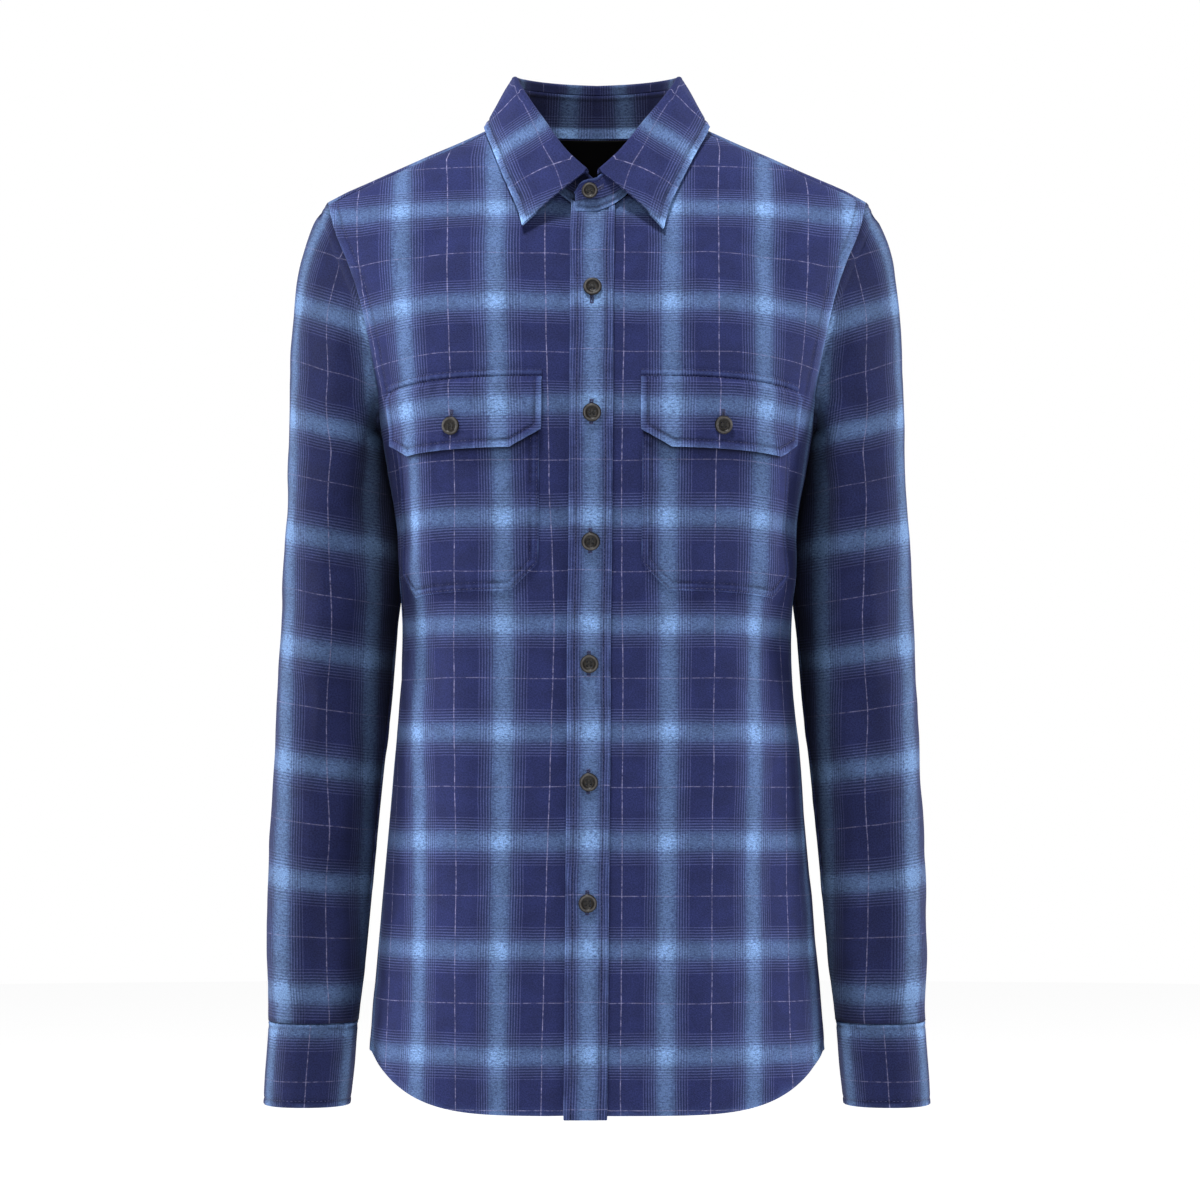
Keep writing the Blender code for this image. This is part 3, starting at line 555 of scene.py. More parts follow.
def pale_rim_and_stitch_shade(from_edge, stitch, along, edge=0.5, dip=-0.45):
    """Paler rim and darker stitches beside an edge: the turned rim is made pale, partly as worn
    cloth and partly as a painted highlight, and the groove of its row of stitches is darkened as
    painted shade.
    """
    uneven = 0.85 + 0.9 * noise.noise(Vector((along / 13.0, stitch, 2.0)))
    # The turned rim and the puff just inside the stitches are paler: partly worn cloth, partly
    # painted highlight.
    pale = edge * bell(from_edge, 1.9)
    pale += 0.3 * edge * bell(from_edge - stitch + 2.2, 1.2)
    # Painted shade in the groove of the stitches.
    dark = dip * bell(from_edge - stitch, 0.95)
    return (pale + dark) * uneven


# ---------------------------------------------------------------- making pieces


def put_in_scene(name, data):
    """An object of a mesh, lamp or camera; a bmesh is made a mesh first."""
    if isinstance(data, bmesh.types.BMesh):
        mesh = bpy.data.meshes.new(name)
        data.to_mesh(mesh)
        data.free()
        data = mesh
    made = bpy.data.objects.new(name, data)
    bpy.context.scene.collection.objects.link(made)
    return made


def keep(bm, name, material, nodes=()):
    """Turns a bmesh in millimetres into a finished piece that rides with the shirt."""
    bmesh.ops.scale(bm, vec=(MM, MM, MM), verts=bm.verts)
    piece = put_in_scene(name, bm)
    piece.data.materials.append(material)
    piece.data.shade_smooth()
    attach(piece, "root")
    if nodes:
        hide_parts(*nodes)
    return piece


PLACES = {}
# The cut of each piece before it was sewn: width, length and area, in metres, and what it hangs on.
CUTS = {
    "front_left": (0.270, 0.745, 0.170, "yoke"),
    "front_right": (0.260, 0.745, 0.162, "yoke"),
    "back": (0.445, 0.662, 0.275, "yoke"),
    "yoke": (0.420, 0.150, 0.0515, ""),
    "inside_yoke": (0.420, 0.150, 0.0503, "yoke"),
    "placket": (0.035, 0.685, 0.0236, "front_left"),
    "collar_leaf": (0.420, 0.068, 0.0270, "collar_stand"),
    "collar_stand": (0.455, 0.034, 0.0135, "yoke"),
    "sleeve": (0.345, 0.600, 0.166, "yoke"),
    "cuff": (0.265, 0.066, 0.0170, "sleeve"),
    "sleeve_placket": (0.026, 0.130, 0.0030, "sleeve"),
    "pocket": (0.126, 0.148, 0.0180, "front"),
    "flap": (0.129, 0.056, 0.0069, "front"),
    "flap_binding": (0.128, 0.010, 0.0011, "flap"),
}


def declare_sheet(name):
    """Reads from CUTS how a piece was cut and what holds it up, and does nothing more with them."""
    stem, side = name, ""
    if name not in CUTS:
        stem, side = name.rsplit("_", 1)
    width, length, area, holder = CUTS[stem]
    if holder in ("front", "sleeve", "flap"):
        holder += "_" + side


def lay_cloth(name, cells, place, thickness, material, tube=False, bevel=0.0):
    """A piece of cloth, in place of the solid of its name. place(u, v) gives (point, outward,
    (across, along), wear) of its outer face for u and v from 0 to 1. wear
    says how much paler the cloth is made there, or darker where negative: partly worn cloth, and
    partly painted highlight on edges and painted shade in stitch grooves, hollows and under laps.
    A tube's first and last columns are sewn together.
    """
    PLACES[name] = place
    bm = bmesh.new()
    bmesh.ops.create_grid(bm, x_segments=cells[0], y_segments=cells[1], size=0.5)
    goods = bm.loops.layers.uv.new("cloth")
    # Paleness and darkness per point: partly worn cloth, partly painted light and shade.
    wear = bm.verts.layers.float.new("wear")
    spots = {vert: place(vert.co.x + 0.5, vert.co.y + 0.5) for vert in bm.verts}
    for vert in bm.verts:
        vert[wear] = spots[vert][3]
    for face in bm.faces:
        for loop in face.loops:
            across, along = spots[loop.vert][2]
            loop[goods].uv = (across * MM, along * MM)
    if tube:
        first, last = {}, {}
        for vert in bm.verts:
            if abs(vert.co.x) > 0.4999:
                (last if vert.co.x > 0 else first)[round(vert.co.y, 5)] = vert
        bmesh.ops.weld_verts(bm, targetmap={last[y]: first[y] for y in last})
    for vert in bm.verts:
        vert.co = spots[vert][0]
    bm.normal_update()
    if sum(vert.normal.dot(spots[vert][1]) for vert in bm.verts) < 0:
        bmesh.ops.reverse_faces(bm, faces=bm.faces)
    nodes = () if name.startswith("flap_binding") else (name,)
    piece = keep(bm, name + "_cloth", material, nodes)
    declare_sheet(name)
    wall = piece.modifiers.new("wall", "SOLIDIFY")
    wall.thickness = thickness * MM
    wall.offset = -1.0
    if bevel:
        edge = piece.modifiers.new("edge", "BEVEL")
        edge.width = bevel * MM
        edge.segments = 2
        edge.limit_method = "ANGLE"
        edge.angle_limit = math.radians(55)


# ---------------------------------------------------------------- finishes


class Wiring:
    """Adds nodes to a tree and joins them in a row."""

    def __init__(self, tree):
        self.tree = tree

    def node(self, kind, **settings):
        made = self.tree.nodes.new(kind)
        for key, value in settings.items():
            setattr(made, key, value)
        return made

    def join(self, source, target):
        if isinstance(source, (int, float, tuple)):
            target.default_value = source
        else:
            self.tree.links.new(source, target)

    def math(self, operation, first, second=None, clamp=False):
        made = self.node("ShaderNodeMath", operation=operation, use_clamp=clamp)
        for value, socket in zip((first, second), made.inputs):
            if value is not None:
                self.join(value, socket)
        return made.outputs[0]

    def times(self, first, second, clamp=False):
        return self.math("MULTIPLY", first, second, clamp=clamp)

    def plus(self, first, second, clamp=False):
        return self.math("ADD", first, second, clamp=clamp)

    def minus(self, first, second):
        return self.math("SUBTRACT", first, second)

    def ramp(self, value, low, high, start=0.0, end=1.0):
        made = self.node("ShaderNodeMapRange", interpolation_type="SMOOTHSTEP")
        self.join(value, made.inputs["Value"])
        limits = {"From Min": low, "From Max": high, "To Min": start, "To Max": end}
        for key, number in limits.items():
            self.join(number, made.inputs[key])
        return made.outputs["Result"]

    def blend(self, share, first, second, how="MIX"):
        made = self.node("ShaderNodeMix", data_type="RGBA", blend_type=how)
        self.join(share, made.inputs["Factor"])
        self.join(first, made.inputs["A"])
        self.join(second, made.inputs["B"])
        return made.outputs["Result"]

    def noise(self, where, scale, detail=2.0, rough=0.5):
        made = self.node("ShaderNodeTexNoise")
        self.join(where, made.inputs["Vector"])
        self.join(scale, made.inputs["Scale"])
        self.join(detail, made.inputs["Detail"])
        self.join(rough, made.inputs["Roughness"])
        return made.outputs["Fac"]


def new_group(name, takes, gives):
    """A shader node group; takes and gives are (name, kind, value) and (name, kind)."""
    group = bpy.data.node_groups.new(name, "ShaderNodeTree")
    for label, kind, value in takes:
        socket = group.interface.new_socket(label, in_out="INPUT", socket_type="NodeSocket" + kind)
        if value is not None:
            socket.default_value = value
    for label, kind in gives:
        group.interface.new_socket(label, in_out="OUTPUT", socket_type="NodeSocket" + kind)
    wiring = Wiring(group)
    return group, wiring, wiring.node("NodeGroupInput"), wiring.node("NodeGroupOutput")


def stripe_group():
    """The stripes of the threads of one direction, from their place across the goods in metres:
    a light ombre band in every repeat, fine pale pin stripes out to either side of it, the darker
    threads between those, and a single white thread halfway to the next band."""
    group, w, inlet, outlet = new_group(
        "shadow_stripes",
        (("Place", "Float", 0.0), ("Repeat", "Float", 0.07), ("Wander", "Float", 0.0)),
        (("Light", "Float"), ("Pins", "Float"), ("Gaps", "Float"), ("White", "Float")),
    )
    place = w.plus(inlet.outputs["Place"], inlet.outputs["Wander"])
    turns = w.math("DIVIDE", place, inlet.outputs["Repeat"])
    share = w.minus(w.math("FRACT", w.plus(turns, 0.5)), 0.5)
    off = w.times(w.math("ABSOLUTE", share), inlet.outputs["Repeat"])
    core = w.ramp(off, 0.0004, 0.0122, 1.0, 0.0)
    glow = w.ramp(off, 0.0060, 0.0185, 0.15, 0.0)
    w.join(w.math("MAXIMUM", core, glow), outlet.inputs["Light"])
    comb = w.math("SINE", w.times(off, 2 * math.pi / 0.00208))
    reach = w.times(w.ramp(off, 0.0058, 0.0080), w.ramp(off, 0.0172, 0.0180, 1.0, 0.0))
    pins = w.times(w.ramp(comb, 0.10, 0.95), w.ramp(off, 0.0070, 0.0178, 1.0, 0.72))
    w.join(w.times(pins, reach), outlet.inputs["Pins"])
    w.join(w.times(w.ramp(comb, -0.1, -0.9), reach), outlet.inputs["Gaps"])
    half = w.math("ABSOLUTE", w.minus(off, w.times(inlet.outputs["Repeat"], 0.5)))
    w.join(w.ramp(half, 0.00012, 0.00052, 1.0, 0.0), outlet.inputs["White"])
    return group


def twill_group():
    """A fine steep twill with a brushed face: which thread lies on top, its relief, and the
    mottling of the nap, from a place on the goods in metres."""
    group, w, inlet, outlet = new_group(
        "brushed_twill",
        (("Goods", "Vector", None), ("Pitch", "Float", 0.0011)),
        (("Slub", "Float"), ("Relief", "Float"), ("Mottle", "Float"), ("Fleck", "Float")),
    )
    goods = inlet.outputs["Goods"]
    split = w.node("ShaderNodeSeparateXYZ")
    w.join(goods, split.inputs[0])
    slant = w.plus(split.outputs["X"], w.times(split.outputs["Y"], 0.8))
    rough = w.noise(goods, 420.0, 2.0)
    slant = w.plus(slant, w.times(rough, 0.0007))
    wave = w.math("SINE", w.times(w.math("DIVIDE", slant, inlet.outputs["Pitch"]), 2 * math.pi))
    nap = w.noise(goods, 900.0, 3.0, 0.65)
    # Thick places in the weft, longer across the goods than along them.
    longer = w.node("ShaderNodeVectorMath", operation="MULTIPLY")
    w.join(goods, longer.inputs[0])
    w.join((0.45, 1.0, 1.0), longer.inputs[1])
    w.join(w.ramp(w.noise(longer.outputs[0], 760.0, 3.0, 0.65), 0.22, 0.78), outlet.inputs["Slub"])
    relief = w.plus(w.times(wave, 0.32), w.times(nap, 1.1))
    w.join(relief, outlet.inputs["Relief"])
    w.join(w.noise(goods, 55.0, 4.0, 0.6), outlet.inputs["Mottle"])
    w.join(w.ramp(nap, 0.30, 0.70), outlet.inputs["Fleck"])
    return group


def new_finish(name, roughness, sheen=0.0, specular=0.5, tint=(1.0, 1.0, 1.0)):
    """A material with its plain numbers set, and (wiring, shader) to feed the rest."""
    material = bpy.data.materials.new(name)
    material.use_nodes = True
    wiring = Wiring(material.node_tree)
    shader = material.node_tree.nodes["Principled BSDF"]
    shader.inputs["Roughness"].default_value = roughness
    shader.inputs["Specular IOR Level"].default_value = specular
    if sheen:
        shader.inputs["Sheen Weight"].default_value = sheen
        shader.inputs["Sheen Roughness"].default_value = 0.45
        shader.inputs["Sheen Tint"].default_value = (*tint, 1.0)
    return material, wiring, shader


def raise_surface(w, shader, height, strength, distance):
    bump = w.node("ShaderNodeBump")
    bump.inputs["Strength"].default_value = strength
    bump.inputs["Distance"].default_value = distance
    w.join(height, bump.inputs["Height"])
    w.join(bump.outputs["Normal"], shader.inputs["Normal"])


NAVY = (0.0200, 0.0262, 0.0970, 1.0)
SKY = (0.2050, 0.3500, 0.6450, 1.0)
PIN_THREAD = (0.20, 0.23, 0.48, 1.0)
WHITE_THREAD = (0.24, 0.235, 0.41, 1.0)
# A band crossed by plain threads shows this much of its colour, and the rest where two cross.
WARP_SHARE = 0.38
WEFT_SHARE = 0.30


def plaid_flannel(name, stripes, twill, shade=1.0, bright=1.0):
    """Warp and weft are striped each on its own, and the cloth shows the two mixed."""
    material, w, shader = new_finish(name, 0.88, sheen=0.03, specular=0.12, tint=(0.55, 0.62, 1.0))
    goods = w.node("ShaderNodeUVMap", uv_map="cloth").outputs["UV"]
    weave = w.node("ShaderNodeGroup", node_tree=twill)
    w.join(goods, weave.inputs["Goods"])
    split = w.node("ShaderNodeSeparateXYZ")
    w.join(goods, split.inputs[0])
    wander = w.times(w.minus(w.noise(goods, 16.0, 2.0), 0.5), 0.0022)
    # The brushed face shows the light threads here and the dark ones there.
    heather = w.plus(1.0, w.times(w.minus(weave.outputs["Slub"], 0.5), 1.35))
    lights, pins, gaps, whites = [], [], [], []
    for axis, repeat in (("X", WARP_REPEAT * MM), ("Y", WEFT_REPEAT * MM)):
        bands = w.node("ShaderNodeGroup", node_tree=stripes)
        w.join(split.outputs[axis], bands.inputs["Place"])
        w.join(repeat, bands.inputs["Repeat"])
        w.join(wander, bands.inputs["Wander"])
        lights.append(w.times(bands.outputs["Light"], heather, clamp=True))
        pins.append(bands.outputs["Pins"])
        gaps.append(bands.outputs["Gaps"])
        whites.append(bands.outputs["White"])
    both = w.times(lights[0], lights[1])
    either = w.plus(w.times(lights[0], WARP_SHARE), w.times(lights[1], WEFT_SHARE))
    light = w.plus(either, w.times(both, 1 - WARP_SHARE - WEFT_SHARE))
    light = w.times(light, bright, clamp=True)
    cloth = w.blend(light, NAVY, SKY)
    lines = w.times(w.plus(pins[0], pins[1], clamp=True), 0.20)
    cloth = w.blend(lines, cloth, PIN_THREAD, "ADD")
    dark = w.minus(1.0, w.times(w.plus(gaps[0], gaps[1], clamp=True), 0.26))
    broken = w.ramp(w.noise(goods, 260.0, 3.0, 0.65), 0.36, 0.64, 0.12, 0.95)
    # The white threads of the weft are half sunk in the nap.
    for white, shown in zip(whites, (1.0, 0.62)):
        white = w.times(white, w.times(broken, shown))
        cloth = w.blend(white, cloth, WHITE_THREAD)
    worn = w.ramp(weave.outputs["Mottle"], 0.30, 0.72, 0.86, 1.14)
    fleck = w.plus(0.70, w.times(weave.outputs["Fleck"], 0.60))
    # A point attribute lightens the cloth towards the light colour or darkens it: partly worn
    # cloth, partly painted highlight and painted shade.
    wear = w.node("ShaderNodeAttribute", attribute_name="wear").outputs["Fac"]
    fleck = w.times(fleck, w.math("MAXIMUM", w.plus(wear, 1.0), 0.2))
    paler = w.times(w.math("MAXIMUM", wear, 0.0), 0.22)
    cloth = w.blend(paler, cloth, SKY)
    # shade darkens a whole copy of the cloth; the sleeves' copy is darkened this way as painted
    # shade.
    tone = w.times(w.times(worn, fleck), w.times(dark, shade))
    grey = w.node("ShaderNodeCombineXYZ")
    for socket in grey.inputs:
        w.join(tone, socket)
    w.join(w.blend(1.0, cloth, grey.outputs[0], "MULTIPLY"), shader.inputs["Base Color"])
    w.join(w.ramp(weave.outputs["Mottle"], 0.3, 0.7, 0.82, 0.94), shader.inputs["Roughness"])
    raise_surface(w, shader, weave.outputs["Relief"], 0.35, 0.0005)
    return material


def black_lining(twill):
    material, w, shader = new_finish("black_lining", 0.80, specular=0.10)
    goods = w.node("ShaderNodeUVMap", uv_map="cloth").outputs["UV"]
    weave = w.node("ShaderNodeGroup", node_tree=twill)
    w.join(goods, weave.inputs["Goods"])
    w.join(0.0008, weave.inputs["Pitch"])
    black, worn = (0.0008, 0.0008, 0.0012, 1), (0.0020, 0.0020, 0.0026, 1)
    w.join(w.blend(weave.outputs["Mottle"], black, worn), shader.inputs["Base Color"])
    raise_surface(w, shader, weave.outputs["Relief"], 0.25, 0.0002)
    return material


def sewing_thread(name, dark, pale):
    material, w, shader = new_finish(name, 0.60, sheen=0.15, specular=0.35)
    where = w.node("ShaderNodeTexCoord").outputs["Object"]
    grain = w.noise(where, 1600.0, 2.0)
    w.join(w.blend(w.ramp(grain, 0.35, 0.65), dark, pale), shader.inputs["Base Color"])
    raise_surface(w, shader, grain, 0.4, 0.0001)
    return material


def horn_button():
    """Dark brown-black horn, paler in a ring inside its rim and in the middle of its face, with
    fine turning marks.
    """
    material, w, shader = new_finish("horn_button", 0.40, specular=0.17)
    where = w.node("ShaderNodeTexCoord").outputs["Object"]
    cloud = w.noise(where, 190.0, 4.0, 0.6)
    streak = w.noise(where, 900.0, 2.0, 0.5)
    rim = w.node("ShaderNodeAttribute", attribute_name="rim").outputs["Fac"]
    body, veins = (0.007, 0.0062, 0.0058, 1), (0.019, 0.0165, 0.0142, 1)
    body = w.blend(w.ramp(cloud, 0.35, 0.68), body, veins)
    pale = w.blend(w.ramp(cloud, 0.3, 0.7), (0.052, 0.049, 0.048, 1), (0.098, 0.092, 0.088, 1))
    w.join(w.blend(rim, body, pale), shader.inputs["Base Color"])
    w.join(w.ramp(streak, 0.3, 0.7, 0.26, 0.44), shader.inputs["Roughness"])
    raise_surface(w, shader, streak, 0.12, 0.0002)
    return material


STRIPES = stripe_group()
TWILL = twill_group()
FLANNEL = plaid_flannel("plaid_flannel", STRIPES, TWILL)
# The sleeves, cuffs and sleeve plackets get a copy of the flannel darkened all over as painted
# shade, with its light bands raised.
SHADED_SLEEVE_FLANNEL = plaid_flannel("shaded_sleeve_flannel", STRIPES, TWILL, 0.66, 1.35)
LINING = black_lining(TWILL)
NAVY_THREAD = sewing_thread("navy_thread", (0.012, 0.015, 0.060, 1), (0.045, 0.055, 0.160, 1))
SLIT_SHADE = sewing_thread("slit_shade", (0.006, 0.006, 0.012, 1), (0.022, 0.024, 0.048, 1))
SHANK_THREAD = sewing_thread("shank_thread", (0.003, 0.0028, 0.003, 1), (0.010, 0.009, 0.009, 1))
HORN = horn_button()


# ---------------------------------------------------------------- fronts, back and yoke

# Soft folds: (x, z, x, z, width, height). Fronts are seen from the front, the back from behind.
FRONT_FOLDS = (
    (-150, -215, -138, -330, 14, -2.2),
    (-128, -225, -126, -345, 12, 1.4),
    (-146, -330, -120, -430, 16, -1.6),
    (-112, -360, -96, -520, 18, 1.2),
    (-134, -470, -140, -700, 20, -1.8),
    (-84, -540, -78, -720, 22, 1.5),
    (-48, -520, -40, -715, 14, -1.1),
    (-150, -120, -120, -70, 12, -1.2),
    (-96, -60, -70, -150, 18, 1.2),
    (-44, -95, -34, -200, 12, -0.9),
    (152, -212, 140, -322, 13, -2.4),
    (130, -230, 128, -352, 12, 1.5),
    (140, -345, 116, -446, 15, -1.5),
    (108, -380, 98, -500, 18, 1.3),
    (128, -500, 138, -705, 20, -1.7),
    (74, -560, 80, -725, 20, 1.5),
    (36, -540, 42, -715, 13, -1.0),
    (148, -128, 116, -76, 12, -1.3),
    (88, -64, 68, -158, 17, 1.2),
    (34, -100, 30, -188, 11, -0.8),
)
BACK_FOLDS = (
    (-40, -110, -32, -260, 16, -1.6),
    (38, -112, 34, -250, 16, -1.4),
    (-110, -150, -92, -300, 20, 1.8),
    (112, -150, 96, -290, 20, 1.6),
    (-140, -230, -110, -400, 18, -2.6),
    (142, -226, 112, -410, 18, -2.4),
    (-70, -330, -30, -390, 14, -2.0),
    (66, -340, 26, -394, 14, -1.8),
    (-96, -400, -120, -700, 26, 2.4),
    (92, -420, 116, -700, 26, 2.2),
    (-30, -420, -44, -720, 24, -2.0),
    (34, -440, 46, -720, 24, -1.8),
    (-150, -480, -152, -700, 18, -1.8),
    (150, -470, 152, -700, 18, -1.8),
)
CLOTH_WALL = 0.9


def hem_distance(half, x, z):
    """How far a place stands above the hem edge."""
    return z - hem_height(half, x, SIDE_HEM_HEIGHT)


def seam_distance(x, z):
    """How far inside the body's armhole edge a place lies, seen from the front."""
    if z < -205:
        return 99.0
    return read(ARMHOLE, "front_x", z) - abs(x)


def front_relief(point, sign):
    """Everything that moves a front off the plain form."""
    x, z = point.x, point.z
    from_hem = hem_distance("front", x, z)
    from_line = abs(x - button_line_x(z))
    from_arm = seam_distance(x, z)
    total = crease(point, FRONT_FOLDS)
    total += unevenness(point, 42.0, 0.9) + unevenness(point, 15.0, 0.22)
    total += groove(from_hem - HEM_STITCH, 0.40)
    total += pucker(from_hem - 5.0, x, height=0.32, pitch=11.0, seed=3.0 * sign)
    total += pucker(from_line - PLACKET_WIDTH / 2, z, height=0.30, reach=7.0, pitch=12.0, seed=sign)
    if from_arm < 40:
        total += groove(from_arm - ARMHOLE_STITCH, 0.45)
        total += pucker(from_arm - 4.0, z, height=0.30, reach=7.0, pitch=10.0, seed=7.0 * sign)
        total += 0.5 * bell(from_arm - 2.5, 2.5)
    calm = ease(from_arm, 0.0, 6.0) * ease(from_hem, 0.0, 4.0)
    return total * (0.3 + 0.7 * calm)


def panel_limits(half, centre_edge, top_edge, armpit_row, top_share):
    """A panel's (turn, z) for u and v, from a centre edge to the side seam and the armhole, as
    its solid is laid out."""

    def side(v):
        if v <= armpit_row:
            return 0.999, mix(SIDE_HEM_HEIGHT, ARMPIT_HEIGHT, v / armpit_row)
        return armhole(half, (v - armpit_row) / (1 - armpit_row) * top_share)

    def limits(u, v):
        edge_x, edge_z = centre_edge(v)
        side_turn, side_z = side(v)
        turn = mix(turn_at(half, edge_x, edge_z), side_turn, u)
        z = mix(edge_z, side_z, u)
        foot = form_point(half, turn, FRONT_HEM_HEIGHT).x
        hem = hem_height(half, foot, SIDE_HEM_HEIGHT)
        z += (hem - mix(centre_edge(0.0)[1], SIDE_HEM_HEIGHT, u)) * (1 - ease(v, 0.0, armpit_row))
        if v > armpit_row:
            share = (v - armpit_row) / (1 - armpit_row)
            end_x, end_z = centre_edge(1.0)
            end_turn = mix(turn_at(half, end_x, end_z), side(1.0)[0], u)
            end_z = mix(end_z, side(1.0)[1], u)
            z += (top_edge(end_turn, end_z) - end_z) * share**2
        return turn, z

    return limits


def front_seam_height(turn, z):
    for _ in range(6):
        x = form_point("front", turn, z).x
        z = shoulder_line(x) - FRONT_SEAM_DROP - 0.15
    return z


def front_panel(name, sign, edge_beyond, sink):
    armpit_row, neck_row = 10 / 22, 14 / 22

    def centre_edge(v):
        if v <= neck_row:
            z = mix(FRONT_HEM_HEIGHT, NECK_FRONT_HEIGHT, v / neck_row)
            return sign * button_line_x(z) - edge_beyond, z
        share = (v - neck_row) / (1 - neck_row)
        start = sign * button_line_x(NECK_FRONT_HEIGHT) - edge_beyond
        x = mix(start, NECK_HALF_WIDTH, share**0.8)
        return x, front_neck_height(max(x, 0.0))

    limits = panel_limits("front", centre_edge, front_seam_height, armpit_row, 1.0)

    def place(u, v):
        turn, z = limits(u, v)
        point, normal = form_seat("front", turn, z)
        turn *= sign
        lift = sink(point.x)
        mirrored(sign, point, normal)
        lift += front_relief(point, sign) * ease(abs(point.x - button_line_x(z)), 8.0, 24.0)
        from_arm = seam_distance(point.x, z)
        # Pale edges at the armhole and hem, partly worn cloth and partly painted highlight, with
        # painted shade in their stitch grooves.
        wear = pale_rim_and_stitch_shade(from_arm, ARMHOLE_STITCH, z, edge=0.22, dip=-0.34)
        wear += pale_rim_and_stitch_shade(hem_distance("front", point.x, z), HEM_STITCH, point.x, edge=0.25, dip=-0.35)
        return point + normal * lift, normal, front_cloth(turn, z), wear

    lay_cloth(name, (66, 220), place, CLOTH_WALL, FLANNEL)


def fronts():
    lap = PLACKET_WIDTH / 2

    def sink_under(x):
        return -(CLOTH + LAP_GAP) * (1 - ease(x, lap + 4, lap + 22))

    front_panel("front_left", 1, lap, lambda x: 0.0)
    front_panel("front_right", -1, lap, sink_under)


def back_panel():
    armpit_row = 11 / 19
    top_share = armhole_share("back", yoke_seam_height(SHOULDER_TIP_X))

    def centre_edge(v):
        return 0.0, mix(BACK_HEM_HEIGHT, YOKE_SEAM_HEIGHT - SEAM_GAP, v)

    def top_edge(turn, z):
        return yoke_seam_height(form_point("back", turn, z).x) - SEAM_GAP

    limits = panel_limits("back", centre_edge, top_edge, armpit_row, top_share)

    def place(u, v):
        across = 2 * u - 1
        turn, z = limits(abs(across), v)
        point, normal = form_seat("back", turn, z)
        if across < 0:
            point.x, normal.x, turn = -point.x, -normal.x, -turn
        from_hem = hem_distance("back", point.x, z)
        from_yoke = yoke_seam_height(point.x) - z
        lift = crease(point, BACK_FOLDS)
        lift += unevenness(point, 46.0, 1.1) + unevenness(point, 16.0, 0.25)
        lift += groove(from_hem - HEM_STITCH, 0.4)
        lift += pucker(from_hem - 5.0, point.x, height=0.32, pitch=11.0, seed=9.0)
        lift += pucker(from_yoke, point.x, height=0.28, reach=7.0, pitch=12.0, seed=4.0)
        lift *= ease(from_hem, -2.0, 5.0) * ease(from_yoke, 0.0, 5.0)
        lift *= ease(1 - abs(across), 0.0, 0.03)
        # A pale hem edge, partly worn cloth and partly painted highlight, with painted shade in its
        # stitch groove and painted shade just under the yoke seam.
        wear = pale_rim_and_stitch_shade(from_hem, HEM_STITCH, point.x, edge=0.25, dip=-0.35)
        wear += pale_rim_and_stitch_shade(from_yoke, 1.0, point.x, edge=0.0, dip=-0.3)
        return point + normal * lift, normal, back_cloth(turn, z), wear

    lay_cloth("back", (132, 190), place, CLOTH_WALL, FLANNEL)


def armhole_x(root):
    column = "back_x" if root >= 0 else "front_x"
    x = SHOULDER_TIP_X
    for _ in range(6):
        x = read(ARMHOLE, column, shoulder_line(x) - root * root)
    return x


def yoke_spot(u, v):
    """(half, turn, z) of the yoke, from the back seam at v = 0 to the front seams at v = 1."""
    across = abs(2 * u - 1)
    neck_share, past_side = 0.4, 1.12
    front_root = -math.sqrt(FRONT_SEAM_DROP)
    seam_z = yoke_seam_height(SHOULDER_TIP_X)
    widest = read(ARMHOLE, "back_x", seam_z)
    foot_x = across * widest
    foot_root = math.sqrt(shoulder_line(foot_x) - yoke_seam_height(foot_x))
    if across <= neck_share:
        angle = across / neck_share * math.pi / 2 * past_side
        top_x, top_root = back_neck(min(angle, math.pi / 2))
        past = max(0.0, (angle * 2 / math.pi - 1) / (past_side - 1))
        top_x = mix(top_x, NECK_HALF_WIDTH, past)
        top_root = mix(top_root, front_root, past)
    else:
        top_x = mix(NECK_HALF_WIDTH, SHOULDER_TIP_X, (across - neck_share) / (1 - neck_share))
        top_root = front_root
    edge_root = mix(math.sqrt(shoulder_line(widest) - seam_z), front_root, v)
    x = mix(foot_x, top_x, v)
    x += across**3 * (armhole_x(edge_root) - mix(widest, SHOULDER_TIP_X, v))
    return over_shoulder(x, mix(foot_root, top_root, v))


YOKE_STEPS = 32


@functools.cache
def yoke_lengths(u):
    shares = [step / YOKE_STEPS for step in range(YOKE_STEPS + 1)]
    return lengths_along([form_point(*yoke_spot(u, share)) for share in shares])


def yoke_place(u, v, lift):
    half, turn, z = yoke_spot(u, v)
    point, normal = form_seat(half, turn, z)
    along = length_at(yoke_lengths(round(abs(u - 0.5), 6) + 0.5), v * YOKE_STEPS)
    across = point.x * 1.04
    if u < 0.5:
        point.x, normal.x, across = -point.x, -normal.x, -across
    inner = swell(v, 0.0, 0.08, 0.92, 1.0) * (1 - ease(abs(2 * u - 1), 0.95, 1.0))
    gathers = pucker(along, point.x, reach=7.0, pitch=12.0, seed=11.0)
    lift += (unevenness(point, 40.0, 0.7) + gathers) * inner
    return point + normal * lift, normal, (across, along + 22.0), 0.0


def yokes():
    for name, rows, lift, wall, material in (
        ("yoke", 40, 0.0, CLOTH_WALL, FLANNEL),
        ("inside_yoke", 30, -CLOTH - SEAM_GAP, 0.8, LINING),
    ):
        lay_cloth(name, (120, rows), functools.partial(yoke_place, lift=lift), wall, material)


# ---------------------------------------------------------------- placket, pockets and flaps

FLAP_WIDTH = POCKET_WIDTH + 2 * FLAP_OVERHANG
FLAP_HEIGHT = FLAP_TOP - FLAP_FOOT
# Width and height, and those of the two clipped lower corners.
POCKET_OUTLINE = (POCKET_WIDTH, POCKET_TOP - POCKET_FOOT, POCKET_CORNER, POCKET_CORNER)
FLAP_OUTLINE = (FLAP_WIDTH, FLAP_HEIGHT, FLAP_CORNER_WIDE, FLAP_CORNER_HIGH)


